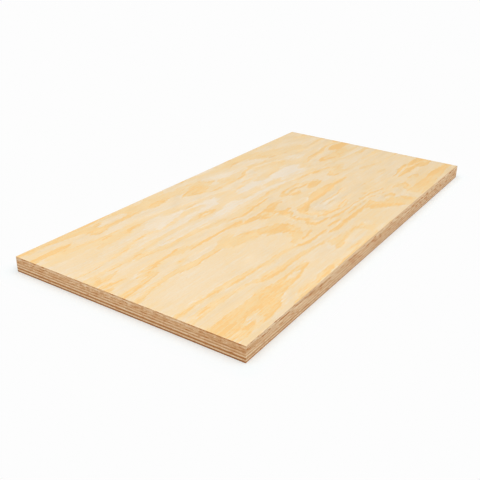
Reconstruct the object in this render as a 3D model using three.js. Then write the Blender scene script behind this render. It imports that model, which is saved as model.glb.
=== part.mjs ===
// Plywood sheet: rotary-cut veneers laid crosswise to each other and glued face to face, lying flat.
// Millimetres, +Z up. The origin is the middle of the underside; X runs along the sheet and its face grain.

import * as THREE from "three";

// Sawn size of the sheet.
const SHEET_LENGTH = 610;
const SHEET_WIDTH = 305;

// Layup, counted from the underside: back veneer, then crossbands with a long-grain core ply between
// each two of them, then the face veneer.
const FACE_VENEER_THICKNESS = 1.8;
const CROSSBAND_THICKNESS = 1.6;
const LONG_CORE_THICKNESS = 1.6;
const CROSSBAND_COUNT = 5;
const GLUE_LINE = 0.1;

// Sanding breaks the sharp edges round both faces of the sheet.
const EASED_ARRIS = 0.4;

const FACE_PINE = new THREE.MeshStandardMaterial({ color: 0xf3d9ae, roughness: 0.62, metalness: 0 });
const CROSSBAND_WOOD = new THREE.MeshStandardMaterial({ color: 0xd3ad84, roughness: 0.8, metalness: 0 });
const LONG_CORE_WOOD = new THREE.MeshStandardMaterial({ color: 0xb98a60, roughness: 0.8, metalness: 0 });

// A square-edged veneer, its grain along or across the sheet.
function innerVeneer(thickness) {
  return new THREE.BoxGeometry(SHEET_LENGTH, SHEET_WIDTH, thickness);
}

// An outer veneer: a slab with one more row of corners round its sides. That row goes to the foot of the
// chamfer, and the corners above it move inwards, which leaves an eased edge round the upper face.
function outerVeneer(thickness) {
  const slab = new THREE.BoxGeometry(SHEET_LENGTH, SHEET_WIDTH, thickness, 1, 1, 2);
  const corner = slab.getAttribute("position");
  for (let i = 0; i < corner.count; i++) {
    if (corner.getZ(i) === 0) corner.setZ(i, thickness / 2 - EASED_ARRIS);
    else if (corner.getZ(i) > 0) {
      corner.setX(i, Math.sign(corner.getX(i)) * (SHEET_LENGTH / 2 - EASED_ARRIS));
      corner.setY(i, Math.sign(corner.getY(i)) * (SHEET_WIDTH / 2 - EASED_ARRIS));
    }
  }
  slab.computeVertexNormals();
  return slab;
}

function ply(name, thickness, geometry, material) {
  const mesh = new THREE.Mesh(geometry, material);
  mesh.name = name;
  return { mesh, thickness };
}

const outer = (name) =>
  ply(name, FACE_VENEER_THICKNESS, outerVeneer(FACE_VENEER_THICKNESS), FACE_PINE);
const crossband = (name) =>
  ply(name, CROSSBAND_THICKNESS, innerVeneer(CROSSBAND_THICKNESS), CROSSBAND_WOOD);
const longCore = (name) =>
  ply(name, LONG_CORE_THICKNESS, innerVeneer(LONG_CORE_THICKNESS), LONG_CORE_WOOD);

// The back veneer is a face veneer turned over, so that its eased edge is below.
const back = outer("back_veneer");
back.mesh.rotation.x = Math.PI;

const layup = [back];
for (let i = 1; i <= CROSSBAND_COUNT; i++) {
  if (i > 1) layup.push(longCore(`long_core_${i - 1}`));
  layup.push(crossband(`crossband_${i}`));
}
layup.push(outer("face_veneer"));

// Each ply lies one glue line above the ply under it.
const sheet = new THREE.Group();
let underside = 0;
for (const { mesh, thickness } of layup) {
  mesh.position.z = underside + thickness / 2;
  underside += thickness + GLUE_LINE;
  sheet.add(mesh);
}

export default sheet;
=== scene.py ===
"""Plywood sheet: pine face and back veneers, crosswise plies and sawn edges, lying on a pale floor.

Lengths in the classes are millimetres unless a name says otherwise, and meshes are written in metres.
X runs along the sheet and its face grain, Y across it and Z up, with the origin in the middle of the
underside. The near corner is the one where X and Y are least.
"""
import logging
import math
from abc import ABC, abstractmethod
from collections.abc import Sequence
from dataclasses import dataclass, replace
from enum import Enum

import bmesh
import bpy
import numpy as np
from mathutils import Euler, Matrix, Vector


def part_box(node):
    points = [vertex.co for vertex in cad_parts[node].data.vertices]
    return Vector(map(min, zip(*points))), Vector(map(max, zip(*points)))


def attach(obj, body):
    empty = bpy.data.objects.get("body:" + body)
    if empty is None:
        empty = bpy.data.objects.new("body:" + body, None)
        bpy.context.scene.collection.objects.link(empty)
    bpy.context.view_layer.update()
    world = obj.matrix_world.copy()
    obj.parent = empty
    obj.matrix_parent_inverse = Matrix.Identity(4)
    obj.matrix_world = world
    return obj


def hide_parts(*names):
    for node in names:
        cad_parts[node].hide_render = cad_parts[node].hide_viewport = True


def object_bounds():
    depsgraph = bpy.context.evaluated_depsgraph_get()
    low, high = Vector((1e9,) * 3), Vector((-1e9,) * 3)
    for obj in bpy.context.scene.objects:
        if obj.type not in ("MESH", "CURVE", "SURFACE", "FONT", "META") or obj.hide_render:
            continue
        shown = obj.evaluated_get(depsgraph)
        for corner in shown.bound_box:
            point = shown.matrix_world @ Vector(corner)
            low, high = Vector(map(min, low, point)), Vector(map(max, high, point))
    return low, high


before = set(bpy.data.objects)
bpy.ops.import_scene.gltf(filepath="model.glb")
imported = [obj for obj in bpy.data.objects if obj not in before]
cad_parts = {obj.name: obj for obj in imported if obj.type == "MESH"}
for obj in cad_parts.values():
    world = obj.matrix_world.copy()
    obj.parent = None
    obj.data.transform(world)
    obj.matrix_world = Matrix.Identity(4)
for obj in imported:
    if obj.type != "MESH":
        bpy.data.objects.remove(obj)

CAD_BOX = [list(corner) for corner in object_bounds()]
BODY = "root"
MM = 0.001
LOG = logging.getLogger("plywood_sheet")

Pair = tuple[float, float]
Point = tuple[float, float, float]
Colour = tuple[float, float, float, float]
Stops = tuple[tuple[float, Colour], ...]
StreakRow = tuple[float | Point, ...]
WashRow = tuple[float, ...]
SpotRow = tuple[float | Pair, ...]
Socket = bpy.types.NodeSocket
Parts = dict[str, Socket]
Rim = list[bmesh.types.BMEdge]

# Figure of the face veneer: rows of a tone and its points (x, y, half width), painted in order.
FAR_LEFT = (
    (0.60, (-156, 147, 6), (-130, 147, 6), (-105, 147, 6), (-80, 148, 5), (-62, 149, 3)),
    (0.66, (-215, 139, 8), (-205, 134, 10), (-192, 131, 8), (-178, 129, 5), (-160, 129, 5), (-142, 134, 9),
     (-120, 135, 10), (-100, 134, 12), (-85, 133, 11), (-70, 135, 8), (-58, 136, 5)),
    (0.84, (-309, 151, 4), (-285, 150, 4), (-265, 149, 4.5), (-245, 148, 5), (-225, 149, 4.5),
     (-205, 150, 3.5), (-185, 151.5, 2.5), (-165, 152, 2)),
    (0.74, (-262, 142, 1), (-250, 143, 3), (-235, 142.5, 4.5), (-220, 139.5, 6.5), (-207, 136, 8),
     (-197, 133, 7), (-190, 130, 4)),
    (0.36, (-309, 136, 4.5), (-280, 137, 4.5), (-255, 137, 4), (-235, 135, 4), (-222, 133, 3)),
    (0.60, (-309, 109, 7), (-290, 108.5, 8), (-270, 108, 7.5), (-250, 106.5, 7), (-230, 106, 7),
     (-210, 105, 8), (-190, 103, 7), (-175, 102, 6), (-160, 103, 4)),
    (0.50, (-48, 84, 4), (-40, 82, 5), (-25, 79, 6), (-10, 74, 7)),
    (0.90, (-309, 126.5, 4.5), (-290, 126.5, 4.5), (-270, 127, 4), (-255, 127.5, 2.5), (-245, 127.5, 1)),
    (0.64, (-292, 119, 3), (-275, 118, 3.5), (-258, 115, 3.5), (-245, 113, 3), (-230, 111, 2)),
    (0.44, (-309, 116, 3), (-300, 116, 3), (-291, 115, 1.5)),
    (0.27, (-260, 120, 1), (-250, 121.5, 3), (-240, 124, 5), (-230, 125, 6), (-222, 123, 5),
     (-216, 118.5, 3)),
    (0.28, (-232, 117.5, 2), (-215, 117, 4.5), (-200, 116, 5), (-185, 117, 6), (-165, 118.5, 5.5),
     (-150, 117, 6), (-139, 117, 7), (-129, 117, 9), (-115, 115, 10), (-103, 111, 9.5), (-89, 108.5, 12.5),
     (-75, 109, 14), (-65, 108, 14), (-55, 102, 11), (-45, 98, 9), (-35, 95, 8), (-20, 91.5, 6),
     (-5, 88, 5), (10, 85, 5)),
    (0.20, (-196, 135, 1.5), (-186, 137.5, 4.5), (-176, 139, 6.5), (-166, 138.5, 7), (-156, 137, 5),
     (-146, 136, 1.5)),
    (0.93, (-199, 141, 1.5), (-192, 140.5, 2.6), (-187, 142, 1.2)),
    (0.80, (-217, 126, 2), (-208, 124, 3), (-198, 124.5, 3), (-188, 126, 3), (-175, 127.5, 3),
     (-160, 128, 3), (-148, 128, 3), (-130, 126.5, 2.4), (-112, 126, 2.6)),
    (0.96, (-213, 122, 1), (-204, 121.6, 1.5), (-194, 122.4, 1)),
    (0.84, (-113, 125, 2), (-104, 126, 5), (-94, 126.5, 5.5), (-84, 127, 3)),
    (0.93, (-108, 121.5, 1), (-96, 121.5, 1.8), (-85, 122, 1)),
    (0.82, (-109, 143, 1.5), (-98, 144, 3.5), (-88, 143, 2)),
    (0.64, (-68, 129, 2), (-57, 130, 4), (-46, 133, 5), (-36, 135, 5), (-24, 137, 4), (-10, 137.5, 3)),
    (0.95, (-218, 105.5, 0.8), (-211, 106, 1.8), (-203, 105.5, 0.8)),
    (0.54, (-198, 105, 3), (-185, 106, 3.5), (-170, 107, 3), (-155, 106.5, 2.5)),
    (0.68, (-240, 93, 2.5), (-225, 95, 4), (-210, 96, 4.5), (-195, 97, 4), (-180, 98.5, 3.2),
     (-165, 100.5, 2.5), (-150, 102, 2)),
    (0.88, (-193, 96.5, 1), (-182, 98, 1.8), (-170, 100, 1.4), (-158, 101.5, 0.8)),
    (0.48, (-156, 104.5, 3.4), (-145, 105, 4), (-130, 104, 3.4), (-115, 101, 3.4), (-100, 97, 4),
     (-85, 93, 4.5), (-70, 90, 4), (-55, 87, 4), (-40, 84.5, 4)),
    (0.30, (-55, 147, 4), (-40, 146, 5), (-25, 144, 5), (-10, 141, 5), (5, 138, 4)),
    (0.66, (-27, 126, 3), (-14, 129, 4), (0, 130, 4)),
    (0.64, (-22, 108, 4), (-10, 107, 5), (1, 107, 4)),
    (0.80, (-60, 114.5, 1), (-52, 115, 3.4), (-43, 114, 7.4), (-33, 113, 11), (-23, 114, 12),
     (-12, 117, 10), (-2, 119, 7), (8, 118, 4.5), (17, 117, 2)),
    (0.92, (-55, 116, 1), (-44, 119, 1.6), (-32, 121, 2), (-20, 122, 1.4)),
    (0.90, (-40, 106, 1), (-32, 103.5, 1.8), (-22, 103, 1.4)),
    (0.86, (-19, 95.5, 1), (-9, 93.8, 2), (2, 93, 2)),
    (0.45, (-309, 94, 5), (-285, 94, 5), (-265, 92, 5), (-250, 90, 2)),
    (0.32, (-309, 81, 4), (-285, 81, 4), (-265, 81, 4), (-250, 81, 4.5), (-235, 81.5, 5.5), (-220, 82, 7),
     (-205, 83, 7), (-190, 84, 7.5), (-180, 86, 9), (-170, 87, 10), (-160, 87, 11), (-150, 85.5, 14),
     (-140, 86, 14), (-132, 86, 12), (-125, 86, 9), (-115, 84, 8), (-105, 84, 5)),
    (0.13, (-168, 84, 3), (-158, 84, 8), (-150, 86.5, 11), (-140, 88, 10), (-130, 88, 7.5),
     (-118, 87, 4.5), (-105, 86.5, 2.6), (-93, 85.5, 1.2)),
    (0.48, (-309, 71, 4), (-285, 70, 4.5), (-265, 69, 5), (-250, 68.5, 5), (-235, 68, 3.5)),
    (0.60, (-238, 66, 2.5), (-220, 69, 3), (-205, 72, 2), (-190, 73.5, 2.2), (-178, 74, 2),
     (-168, 72, 2.6), (-160, 70, 2), (-150, 68.5, 1.6)),
    (0.54, (-156, 69, 1.6), (-138, 70, 2), (-128, 72.5, 2.4), (-115, 75.5, 2.8), (-105, 77, 3.2),
     (-95, 77.5, 3.2), (-85, 77.5, 2.4), (-75, 78, 1.4)),
    (0.66, (-156, 68, 1), (-142, 69, 1.2), (-130, 71, 1)),
    (0.74, (-94, 85.5, 1), (-86, 85.6, 2.2), (-78, 86, 2), (-66, 87, 1.2)),
    (0.82, (-198, 73, 0.8), (-190, 73.8, 1.4), (-180, 74.5, 0.8)),
    (0.86, (-234, 64, 0.8), (-227, 64.5, 1.2), (-218, 66, 0.8)),
    (0.66, (-309, 61, 1.2), (-285, 60.5, 1), (-265, 61, 1), (-250, 62, 1), (-235, 63, 1)),
    (0.32, (-309, 55.5, 4), (-280, 56, 4), (-255, 56.5, 4.5), (-235, 57, 4.5), (-215, 58.5, 5),
     (-205, 62, 5.5)),
    (0.20, (-205, 63, 4), (-190, 64, 5), (-175, 63, 5.5), (-160, 62, 5), (-145, 61, 4), (-130, 62.5, 5),
     (-118, 65, 6), (-105, 66.5, 4.5), (-92, 66, 4), (-80, 66, 4), (-70, 66, 4), (-60, 66, 5)),
    (0.05, (-89, 82.5, 1), (-78, 81.5, 1.8), (-68, 80, 2.5), (-60, 77, 5), (-52, 75, 7.5), (-46, 74, 7.5),
     (-41, 74, 5), (-38, 76, 3)),
    (0.08, (-105, 67, 3), (-85, 66, 3.5), (-70, 66, 4), (-58, 66, 5), (-50, 66, 5), (-42, 67, 3)),
    (0.60, (-309, 48.5, 2.5), (-285, 48.5, 2.5), (-265, 48, 2.5), (-245, 48, 2.5), (-230, 47, 3),
     (-222, 48, 3), (-210, 50.5, 2.4), (-200, 52, 2)),
    (0.50, (-204, 52, 2), (-185, 53.5, 2.4), (-170, 54.5, 2.6), (-155, 55, 2.6), (-140, 55, 2.6),
     (-125, 55.5, 3), (-112, 56, 3.5)),
    (0.66, (-116, 56, 2), (-107, 56, 3.5), (-98, 56, 4.5), (-90, 55.5, 5.5), (-80, 55, 5.5), (-72, 54, 4),
     (-66, 53, 2)),
    (0.80, (-309, 47, 1.2), (-290, 46.5, 1), (-270, 46, 1), (-250, 45, 1), (-238, 43, 1)),
    (1.00, (-232, 45.5, 0.8), (-226, 46, 1.6), (-220, 45.5, 0.8)),
    (0.85, (-102, 53, 1.2), (-96, 56.5, 1.6), (-86, 58, 2), (-78, 57, 2), (-71, 54, 2), (-74, 52.5, 1.2)),
    (0.44, (-91, 54.5, 0.8), (-87, 54.5, 1.5), (-83, 54.5, 0.8)),
    (0.48, (-60, 55, 3.5), (-48, 58, 3.5), (-40, 64, 5), (-33, 71, 7), (-28, 62, 9), (-18, 62, 10),
     (-6, 66, 11)),
    (0.50, (-70, 49, 1), (-50, 53, 2), (-30, 54, 2.5), (-15, 52, 4), (0, 50, 4)),
    (0.16, (-209, 45, 1), (-199, 45, 2.6), (-190, 44.5, 4.4), (-180, 44, 5.5), (-165, 44, 6.5),
     (-150, 44.5, 6.5), (-135, 44, 6), (-120, 41.5, 5), (-105, 40.5, 5), (-90, 40.5, 5), (-75, 41, 5),
     (-60, 42, 5.5), (-50, 44, 7), (-40, 45, 7.4), (-30, 44.5, 7), (-23, 42, 5), (-15, 39.5, 3.4),
     (-5, 38.5, 3), (5, 39, 3)),
    (0.52, (-118, 36, 1.5), (-100, 35.5, 2.4), (-80, 35.5, 2), (-60, 36, 1.6), (-35, 35.5, 1.6)),
    (0.36, (-185, 42, 0.8), (-175, 43, 1), (-165, 42, 0.8)),
    (0.76, (-309, 42, 5), (-298, 42, 4), (-288, 42, 3), (-278, 43, 1.2)),
    (0.92, (-309, 36, 5.5), (-297, 37, 4.5), (-287, 35.5, 3), (-277, 34, 1.5)),
    (0.75, (-309, 27, 4), (-300, 27, 2.6), (-290, 25, 1.6)),
    (0.60, (-290, 34, 4), (-276, 36, 2.4), (-264, 38, 1.6)),
    (0.64, (-250, 41.5, 1), (-238, 41.5, 2), (-225, 41, 2.4), (-212, 39, 2.6), (-200, 37, 3),
     (-190, 35.5, 3)),
    (0.60, (-235, 38, 1.2), (-225, 38, 2.5), (-212, 37, 2.5), (-200, 34.5, 3), (-185, 34, 3),
     (-165, 33.5, 3), (-150, 32, 3), (-135, 31, 3), (-120, 29, 3), (-105, 28, 3), (-90, 26, 3.5),
     (-75, 24.5, 3), (-60, 24, 4), (-45, 23, 5), (-30, 23, 5), (-15, 25, 4), (0, 26, 3)),
    (0.55, (-122, 24, 2), (-105, 23, 3.4), (-92, 22, 3.6), (-80, 21, 3), (-66, 20.5, 3), (-50, 21, 3),
     (-30, 22, 3)),
    (0.80, (-130, 29, 0.8), (-118, 28.5, 1.4), (-106, 27, 1.8), (-94, 25.5, 1.8), (-84, 24, 1)),
    (0.30, (-289, 42, 0.8), (-280, 41, 2), (-270, 41.5, 3), (-255, 41.5, 3), (-245, 41, 2), (-235, 40, 1)),
    (0.30, (-295, 27.5, 1), (-285, 28, 3), (-275, 28.5, 5), (-260, 30, 8), (-250, 31, 8), (-240, 30, 7.5),
     (-230, 29, 7), (-220, 29, 6.5), (-210, 27.5, 5.5), (-200, 26, 4.5), (-190, 24.5, 4), (-175, 24, 5),
     (-165, 23, 6), (-155, 21.5, 8), (-145, 19, 9), (-135, 18, 7.5), (-120, 17, 6.5), (-105, 15, 4.5),
     (-90, 12, 3)),
    (0.85, (-228, 38, 0.8), (-224, 37.5, 1), (-219, 37, 0.8)),
    (0.85, (-309, 27, 2), (-297, 23.5, 1.6), (-285, 21.5, 1.6), (-272, 20.3, 0.8)),
    (0.86, (-309, 17, 5), (-303, 17, 3), (-298, 14, 1)),
    (0.34, (-301, 8, 4), (-290, 9, 5), (-278, 11, 6), (-268, 14, 5), (-258, 15.5, 3)),
    (0.74, (-266, 11, 1.5), (-256, 9, 4), (-249, 5, 5.5), (-252, -1, 3.5)),
    (0.92, (-260, 14.5, 1), (-248, 15.5, 3.4), (-238, 14.5, 4.4), (-228, 14.5, 3.8), (-218, 15.5, 3),
     (-208, 16, 3), (-197, 17.5, 2.5), (-187, 19.5, 1)),
    (0.68, (-202, 13.5, 3.5), (-190, 13, 4), (-180, 12.5, 4), (-172, 9.5, 3), (-164, 8, 2.5)),
    (0.33, (-243, 3, 1), (-235, 5, 4.4), (-225, 8, 6), (-212, 8, 6), (-200, 6, 5), (-190, 3, 5),
     (-175, 1, 4)),
    (0.98, (-178, 6, 1), (-165, 6.8, 2), (-150, 7.4, 2.2), (-135, 7.6, 2.2), (-120, 7.4, 2),
     (-110, 6.4, 2.6), (-100, 5, 3.6), (-90, 4.6, 4), (-83, 4, 3), (-78, 4, 1)),
    (0.32, (-73, 7, 3), (-62, 6, 5), (-46, 6, 5), (-30, 8, 4), (-15, 11, 4), (0, 14, 5), (12, 18, 5)),
    (0.62, (-92, 17, 1), (-78, 18, 2), (-60, 17.5, 2.5), (-42, 17.5, 3), (-26, 18, 2.5)),
    (1.00, (-84, 16.8, 0.8), (-74, 16, 1.4), (-65, 14, 2.8), (-55, 13.3, 2.6), (-45, 13.4, 2.2),
     (-37, 14.8, 1.6)),
    (0.92, (-42, 14.5, 1), (-33, 17.2, 1.8), (-20, 17, 1.6), (-5, 18, 1.5), (6, 18.6, 1)),
    (0.85, (-22, 2, 1), (-12, 2.5, 2), (-2, 2, 2)),
)
FAR_RIGHT = (
    (0.54, (-4, 147, 4), (20, 146, 5), (45, 145, 6), (65, 144, 7), (85, 142, 8), (100, 141, 8),
     (120, 141, 8), (138, 137, 10), (152, 131, 13), (165, 123, 15), (180, 119, 14), (195, 115, 12),
     (208, 110, 9)),
    (0.50, (190, 146, 5), (215, 147, 5), (250, 146, 6), (280, 145, 7), (309, 144, 8)),
    (0.48, (205, 112, 8), (230, 110, 10), (255, 114, 11), (280, 116, 11), (309, 116, 11)),
    (0.70, (132, 128, 3), (140, 122, 5), (148, 118, 6), (156, 116, 6), (164, 114, 4)),
    (0.50, (-2, 104, 4), (20, 103, 4), (40, 102, 4), (60, 103, 3)),
    (0.27, (6, 130, 3), (18, 126, 7), (30, 123, 9.5), (45, 121, 10), (58, 120, 9), (70, 120, 9),
     (85, 122, 8.5), (100, 122.5, 8), (115, 120, 8), (128, 117, 6), (138, 113, 4)),
    (0.15, (12, 131, 3), (22, 127, 6), (34, 123, 7), (48, 119, 6), (60, 117, 5)),
    (0.74, (17, 107, 3), (26, 109.5, 5), (34, 108.5, 4.5), (42, 106, 2)),
    (0.55, (44, 106, 3), (60, 107, 3), (78, 109, 3)),
    (0.74, (-8, 94, 2), (5, 94, 2.6), (18, 94.5, 3), (32, 95, 3.4), (46, 95, 3.4), (56, 96, 3),
     (64, 98, 2.6), (72, 101.5, 2.6), (82, 105, 2.4), (95, 106.5, 2.4), (108, 106, 2.4), (122, 104.5, 2.2),
     (138, 103.5, 2)),
    (0.92, (43, 93.8, 1), (52, 94.6, 1.8), (61, 96.6, 1.2)),
    (0.78, (95, 109, 1), (102, 111, 3), (110, 110.5, 2.6), (117, 109, 1)),
    (0.80, (78, 131, 0.8), (88, 134.5, 1.4), (100, 135.5, 1.4), (112, 134.5, 0.8)),
    (0.80, (130, 128, 1.5), (140, 123, 2.4), (150, 118, 3), (158, 111, 2.6), (168, 108, 1.6)),
    (0.75, (92, 152, 2), (100, 151, 3), (108, 152, 2)),
    (0.85, (176, 151.5, 1.5), (184, 151, 2), (190, 152, 1)),
    (0.28, (20, 149, 2), (40, 149, 3), (60, 149, 2)),
    (0.50, (92, 88, 7), (105, 84, 10), (120, 82, 11), (135, 81, 11), (148, 80, 8), (158, 76, 6)),
    (0.58, (52, 68.5, 3), (64, 69, 4.6), (78, 70, 5), (92, 71.5, 5), (106, 73, 4), (120, 74.5, 4)),
    (0.66, (76, 65, 1.2), (90, 66.5, 1.6), (105, 68, 2), (120, 70, 2)),
    (0.64, (108, 91, 2), (122, 92, 3), (136, 89, 4), (148, 85, 4), (158, 80, 3)),
    (0.58, (100, 97, 3), (115, 98, 4), (130, 98, 4), (145, 98, 4.5), (158, 99, 4)),
    (0.24, (66, 91, 3), (74, 93, 5), (81, 96, 5.5), (88, 98.5, 3.5), (96, 101, 2)),
    (0.36, (96, 101.5, 2), (110, 101, 1.6), (125, 98, 1.4), (138, 94.5, 1.4), (150, 91, 2), (160, 88, 2)),
    (0.36, (152, 104.5, 1.5), (165, 102.6, 2), (180, 99, 2), (195, 95, 2.4), (206, 91, 2.4)),
    (0.64, (162, 111, 5), (178, 109, 6), (195, 106.5, 6.5), (212, 104.5, 7), (228, 103, 6), (243, 101, 4)),
    (0.86, (155, 108, 1.2), (163, 107.6, 2), (172, 106.6, 1.2)),
    (0.30, (204, 124, 2), (214, 126, 5), (226, 126.5, 5.5), (238, 124, 3)),
    (0.58, (186, 89, 2), (200, 86.5, 3), (215, 85.5, 3), (232, 86, 3), (248, 88, 3)),
    (0.22, (-5, 84, 3), (8, 84, 5), (25, 84, 6), (42, 84, 5), (58, 82, 3)),
    (0.52, (33, 79.5, 1.5), (50, 80, 2), (66, 80.5, 2), (78, 85, 2)),
    (0.62, (8, 75, 1), (15, 73, 1.8), (23, 72.5, 2.4), (30, 73, 1.4)),
    (0.02, (-2, 62, 3), (10, 64, 5.5), (22, 62.5, 7), (34, 63, 8.5), (44, 62, 9), (52, 58, 7),
     (62, 56.5, 4), (74, 56, 4.5)),
    (0.00, (82, 57, 5), (90, 55, 9), (100, 53, 11), (112, 52, 12), (124, 51, 14), (134, 51, 14),
     (142, 52, 10), (150, 54, 6), (155, 54, 2)),
    (0.12, (82, 41, 2), (95, 40.5, 4), (110, 40, 4), (122, 38.5, 4), (134, 37, 3.4), (144, 36, 2.4)),
    (0.48, (-8, 46.5, 4), (15, 47, 4.4), (42, 47, 4.4), (62, 46, 3.6), (78, 44, 2.6)),
    (0.62, (141, 46, 1.6), (148, 46.5, 4), (157, 46, 4)),
    (0.15, (-5, 38, 3), (15, 40, 3), (40, 38, 3.5), (60, 35.5, 3.5), (75, 33, 3)),
    (0.66, (-5, 26, 2), (10, 26, 2.2), (20, 28, 2.2), (32, 30, 2), (47, 28, 1.6), (62, 28.5, 2),
     (80, 27, 2), (95, 25, 2)),
    (0.90, (17, 28, 0.8), (22, 28.4, 1.6), (27, 28.8, 0.8)),
    (0.56, (96, 27.5, 2.5), (115, 27, 3), (135, 26, 3.4), (156, 25, 3.6)),
    (0.76, (86, 25, 1.4), (98, 23.6, 2.4), (112, 22, 2.8), (125, 20.4, 2.6), (138, 17.5, 3.5),
     (152, 15, 3.5), (165, 12, 3), (175, 9, 2)),
    (1.00, (136, 17, 1.6), (142, 16, 3.4), (148, 15, 1.6)),
    (0.80, (22, 8, 1), (29, 10, 2.4), (40, 13, 2), (52, 14.5, 2), (65, 14, 2), (76, 13, 2.8),
     (86, 12, 1.5)),
    (0.88, (22, 7, 1), (32, 5, 3.2), (42, 4.6, 2), (52, 5.6, 2.4), (62, 6.6, 2.6), (71, 8.6, 1.8),
     (80, 11, 1.6)),
    (0.78, (62, 3, 1.6), (74, 4, 2.4), (86, 3, 3), (98, 2, 2.4)),
    (0.62, (80, 8, 2), (90, 7, 3), (102, 5, 2.5)),
    (0.36, (40, 10, 1.4), (52, 10, 1.4), (64, 10.6, 1)),
    (0.32, (92, 13, 2), (105, 11, 3), (118, 8, 4), (132, 6, 4), (148, 5, 3), (160, 3, 2)),
    (0.70, (-4, 2, 2), (6, 1.5, 1.6)),
    (0.20, (171, 84, 4), (180, 80, 7), (190, 76, 9), (199, 74, 5)),
    (0.33, (196, 75.5, 3.5), (215, 76, 4.5), (235, 76, 4.5), (255, 75, 4), (278, 75.5, 3)),
    (0.38, (262, 102, 4), (278, 101, 6), (296, 100, 6)),
    (0.78, (244, 89.5, 1), (262, 89.5, 2.2), (280, 89.5, 2.8), (309, 90, 4)),
    (0.34, (268, 83, 2.4), (284, 82, 3), (309, 80, 3)),
    (0.72, (284, 124, 1.5), (296, 124, 3), (309, 124, 4)),
    (0.82, (180, 51, 1.5), (190, 54.5, 2.8), (203, 56.8, 3), (218, 57.4, 3), (234, 58, 3.4),
     (247, 60.5, 3), (260, 63, 2.6), (276, 64, 1.5)),
    (0.58, (272, 62.5, 3), (290, 62.5, 3.4), (309, 61, 5)),
    (0.92, (234, 55.5, 0.8), (241, 57, 1.8), (250, 60, 0.8)),
    (0.26, (168, 36, 5), (176, 42, 7), (186, 45, 5), (198, 46, 4), (212, 46, 4), (228, 46, 4),
     (243, 49, 4), (253, 54, 2.6)),
    (0.74, (192, 35, 1), (198, 35.5, 4.5), (207, 35.5, 6), (217, 33.5, 7), (230, 31, 8), (245, 30, 8.5),
     (258, 30, 8)),
    (0.62, (256, 30, 8), (274, 30, 6), (292, 28, 4)),
    (1.00, (192, 34, 1.5), (197, 36.4, 4.4), (203, 37.6, 3.4), (210, 39, 1.5)),
    (1.00, (253, 50, 1), (259, 49, 6), (268, 48, 9), (278, 48, 9), (288, 47, 7)),
    (0.92, (284, 46.5, 7), (298, 46, 7), (309, 46, 8)),
    (0.48, (272, 26.5, 1.4), (282, 27, 2.4), (292, 27, 1.4)),
    (0.60, (205, 20.4, 2), (220, 19.4, 2.6), (238, 20, 3), (258, 20.5, 3), (280, 20.5, 3), (300, 20, 3)),
    (0.34, (255, 59, 1.6), (270, 60, 1.6), (285, 59, 1.6), (298, 57, 1)),
    (0.85, (300, 64, 4), (309, 64, 6)),
    (0.34, (158, 28, 3), (172, 26.5, 3.4), (186, 24.5, 3), (198, 22, 2)),
    (0.60, (172, 20, 1.4), (190, 18.5, 2), (208, 15.5, 2.2), (224, 12.5, 2), (242, 9.5, 2), (258, 8.4, 2)),
    (0.36, (214, 7, 2), (232, 4.5, 3), (250, 2.4, 3)),
    (0.80, (262, 6.5, 2), (278, 4.6, 4), (295, 4, 5), (309, 4, 6)),
    (0.36, (236, 14.5, 2), (255, 14.5, 2.6), (280, 14, 3)),
    (0.74, (301, 108, 4), (309, 106, 10)),
)
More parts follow.
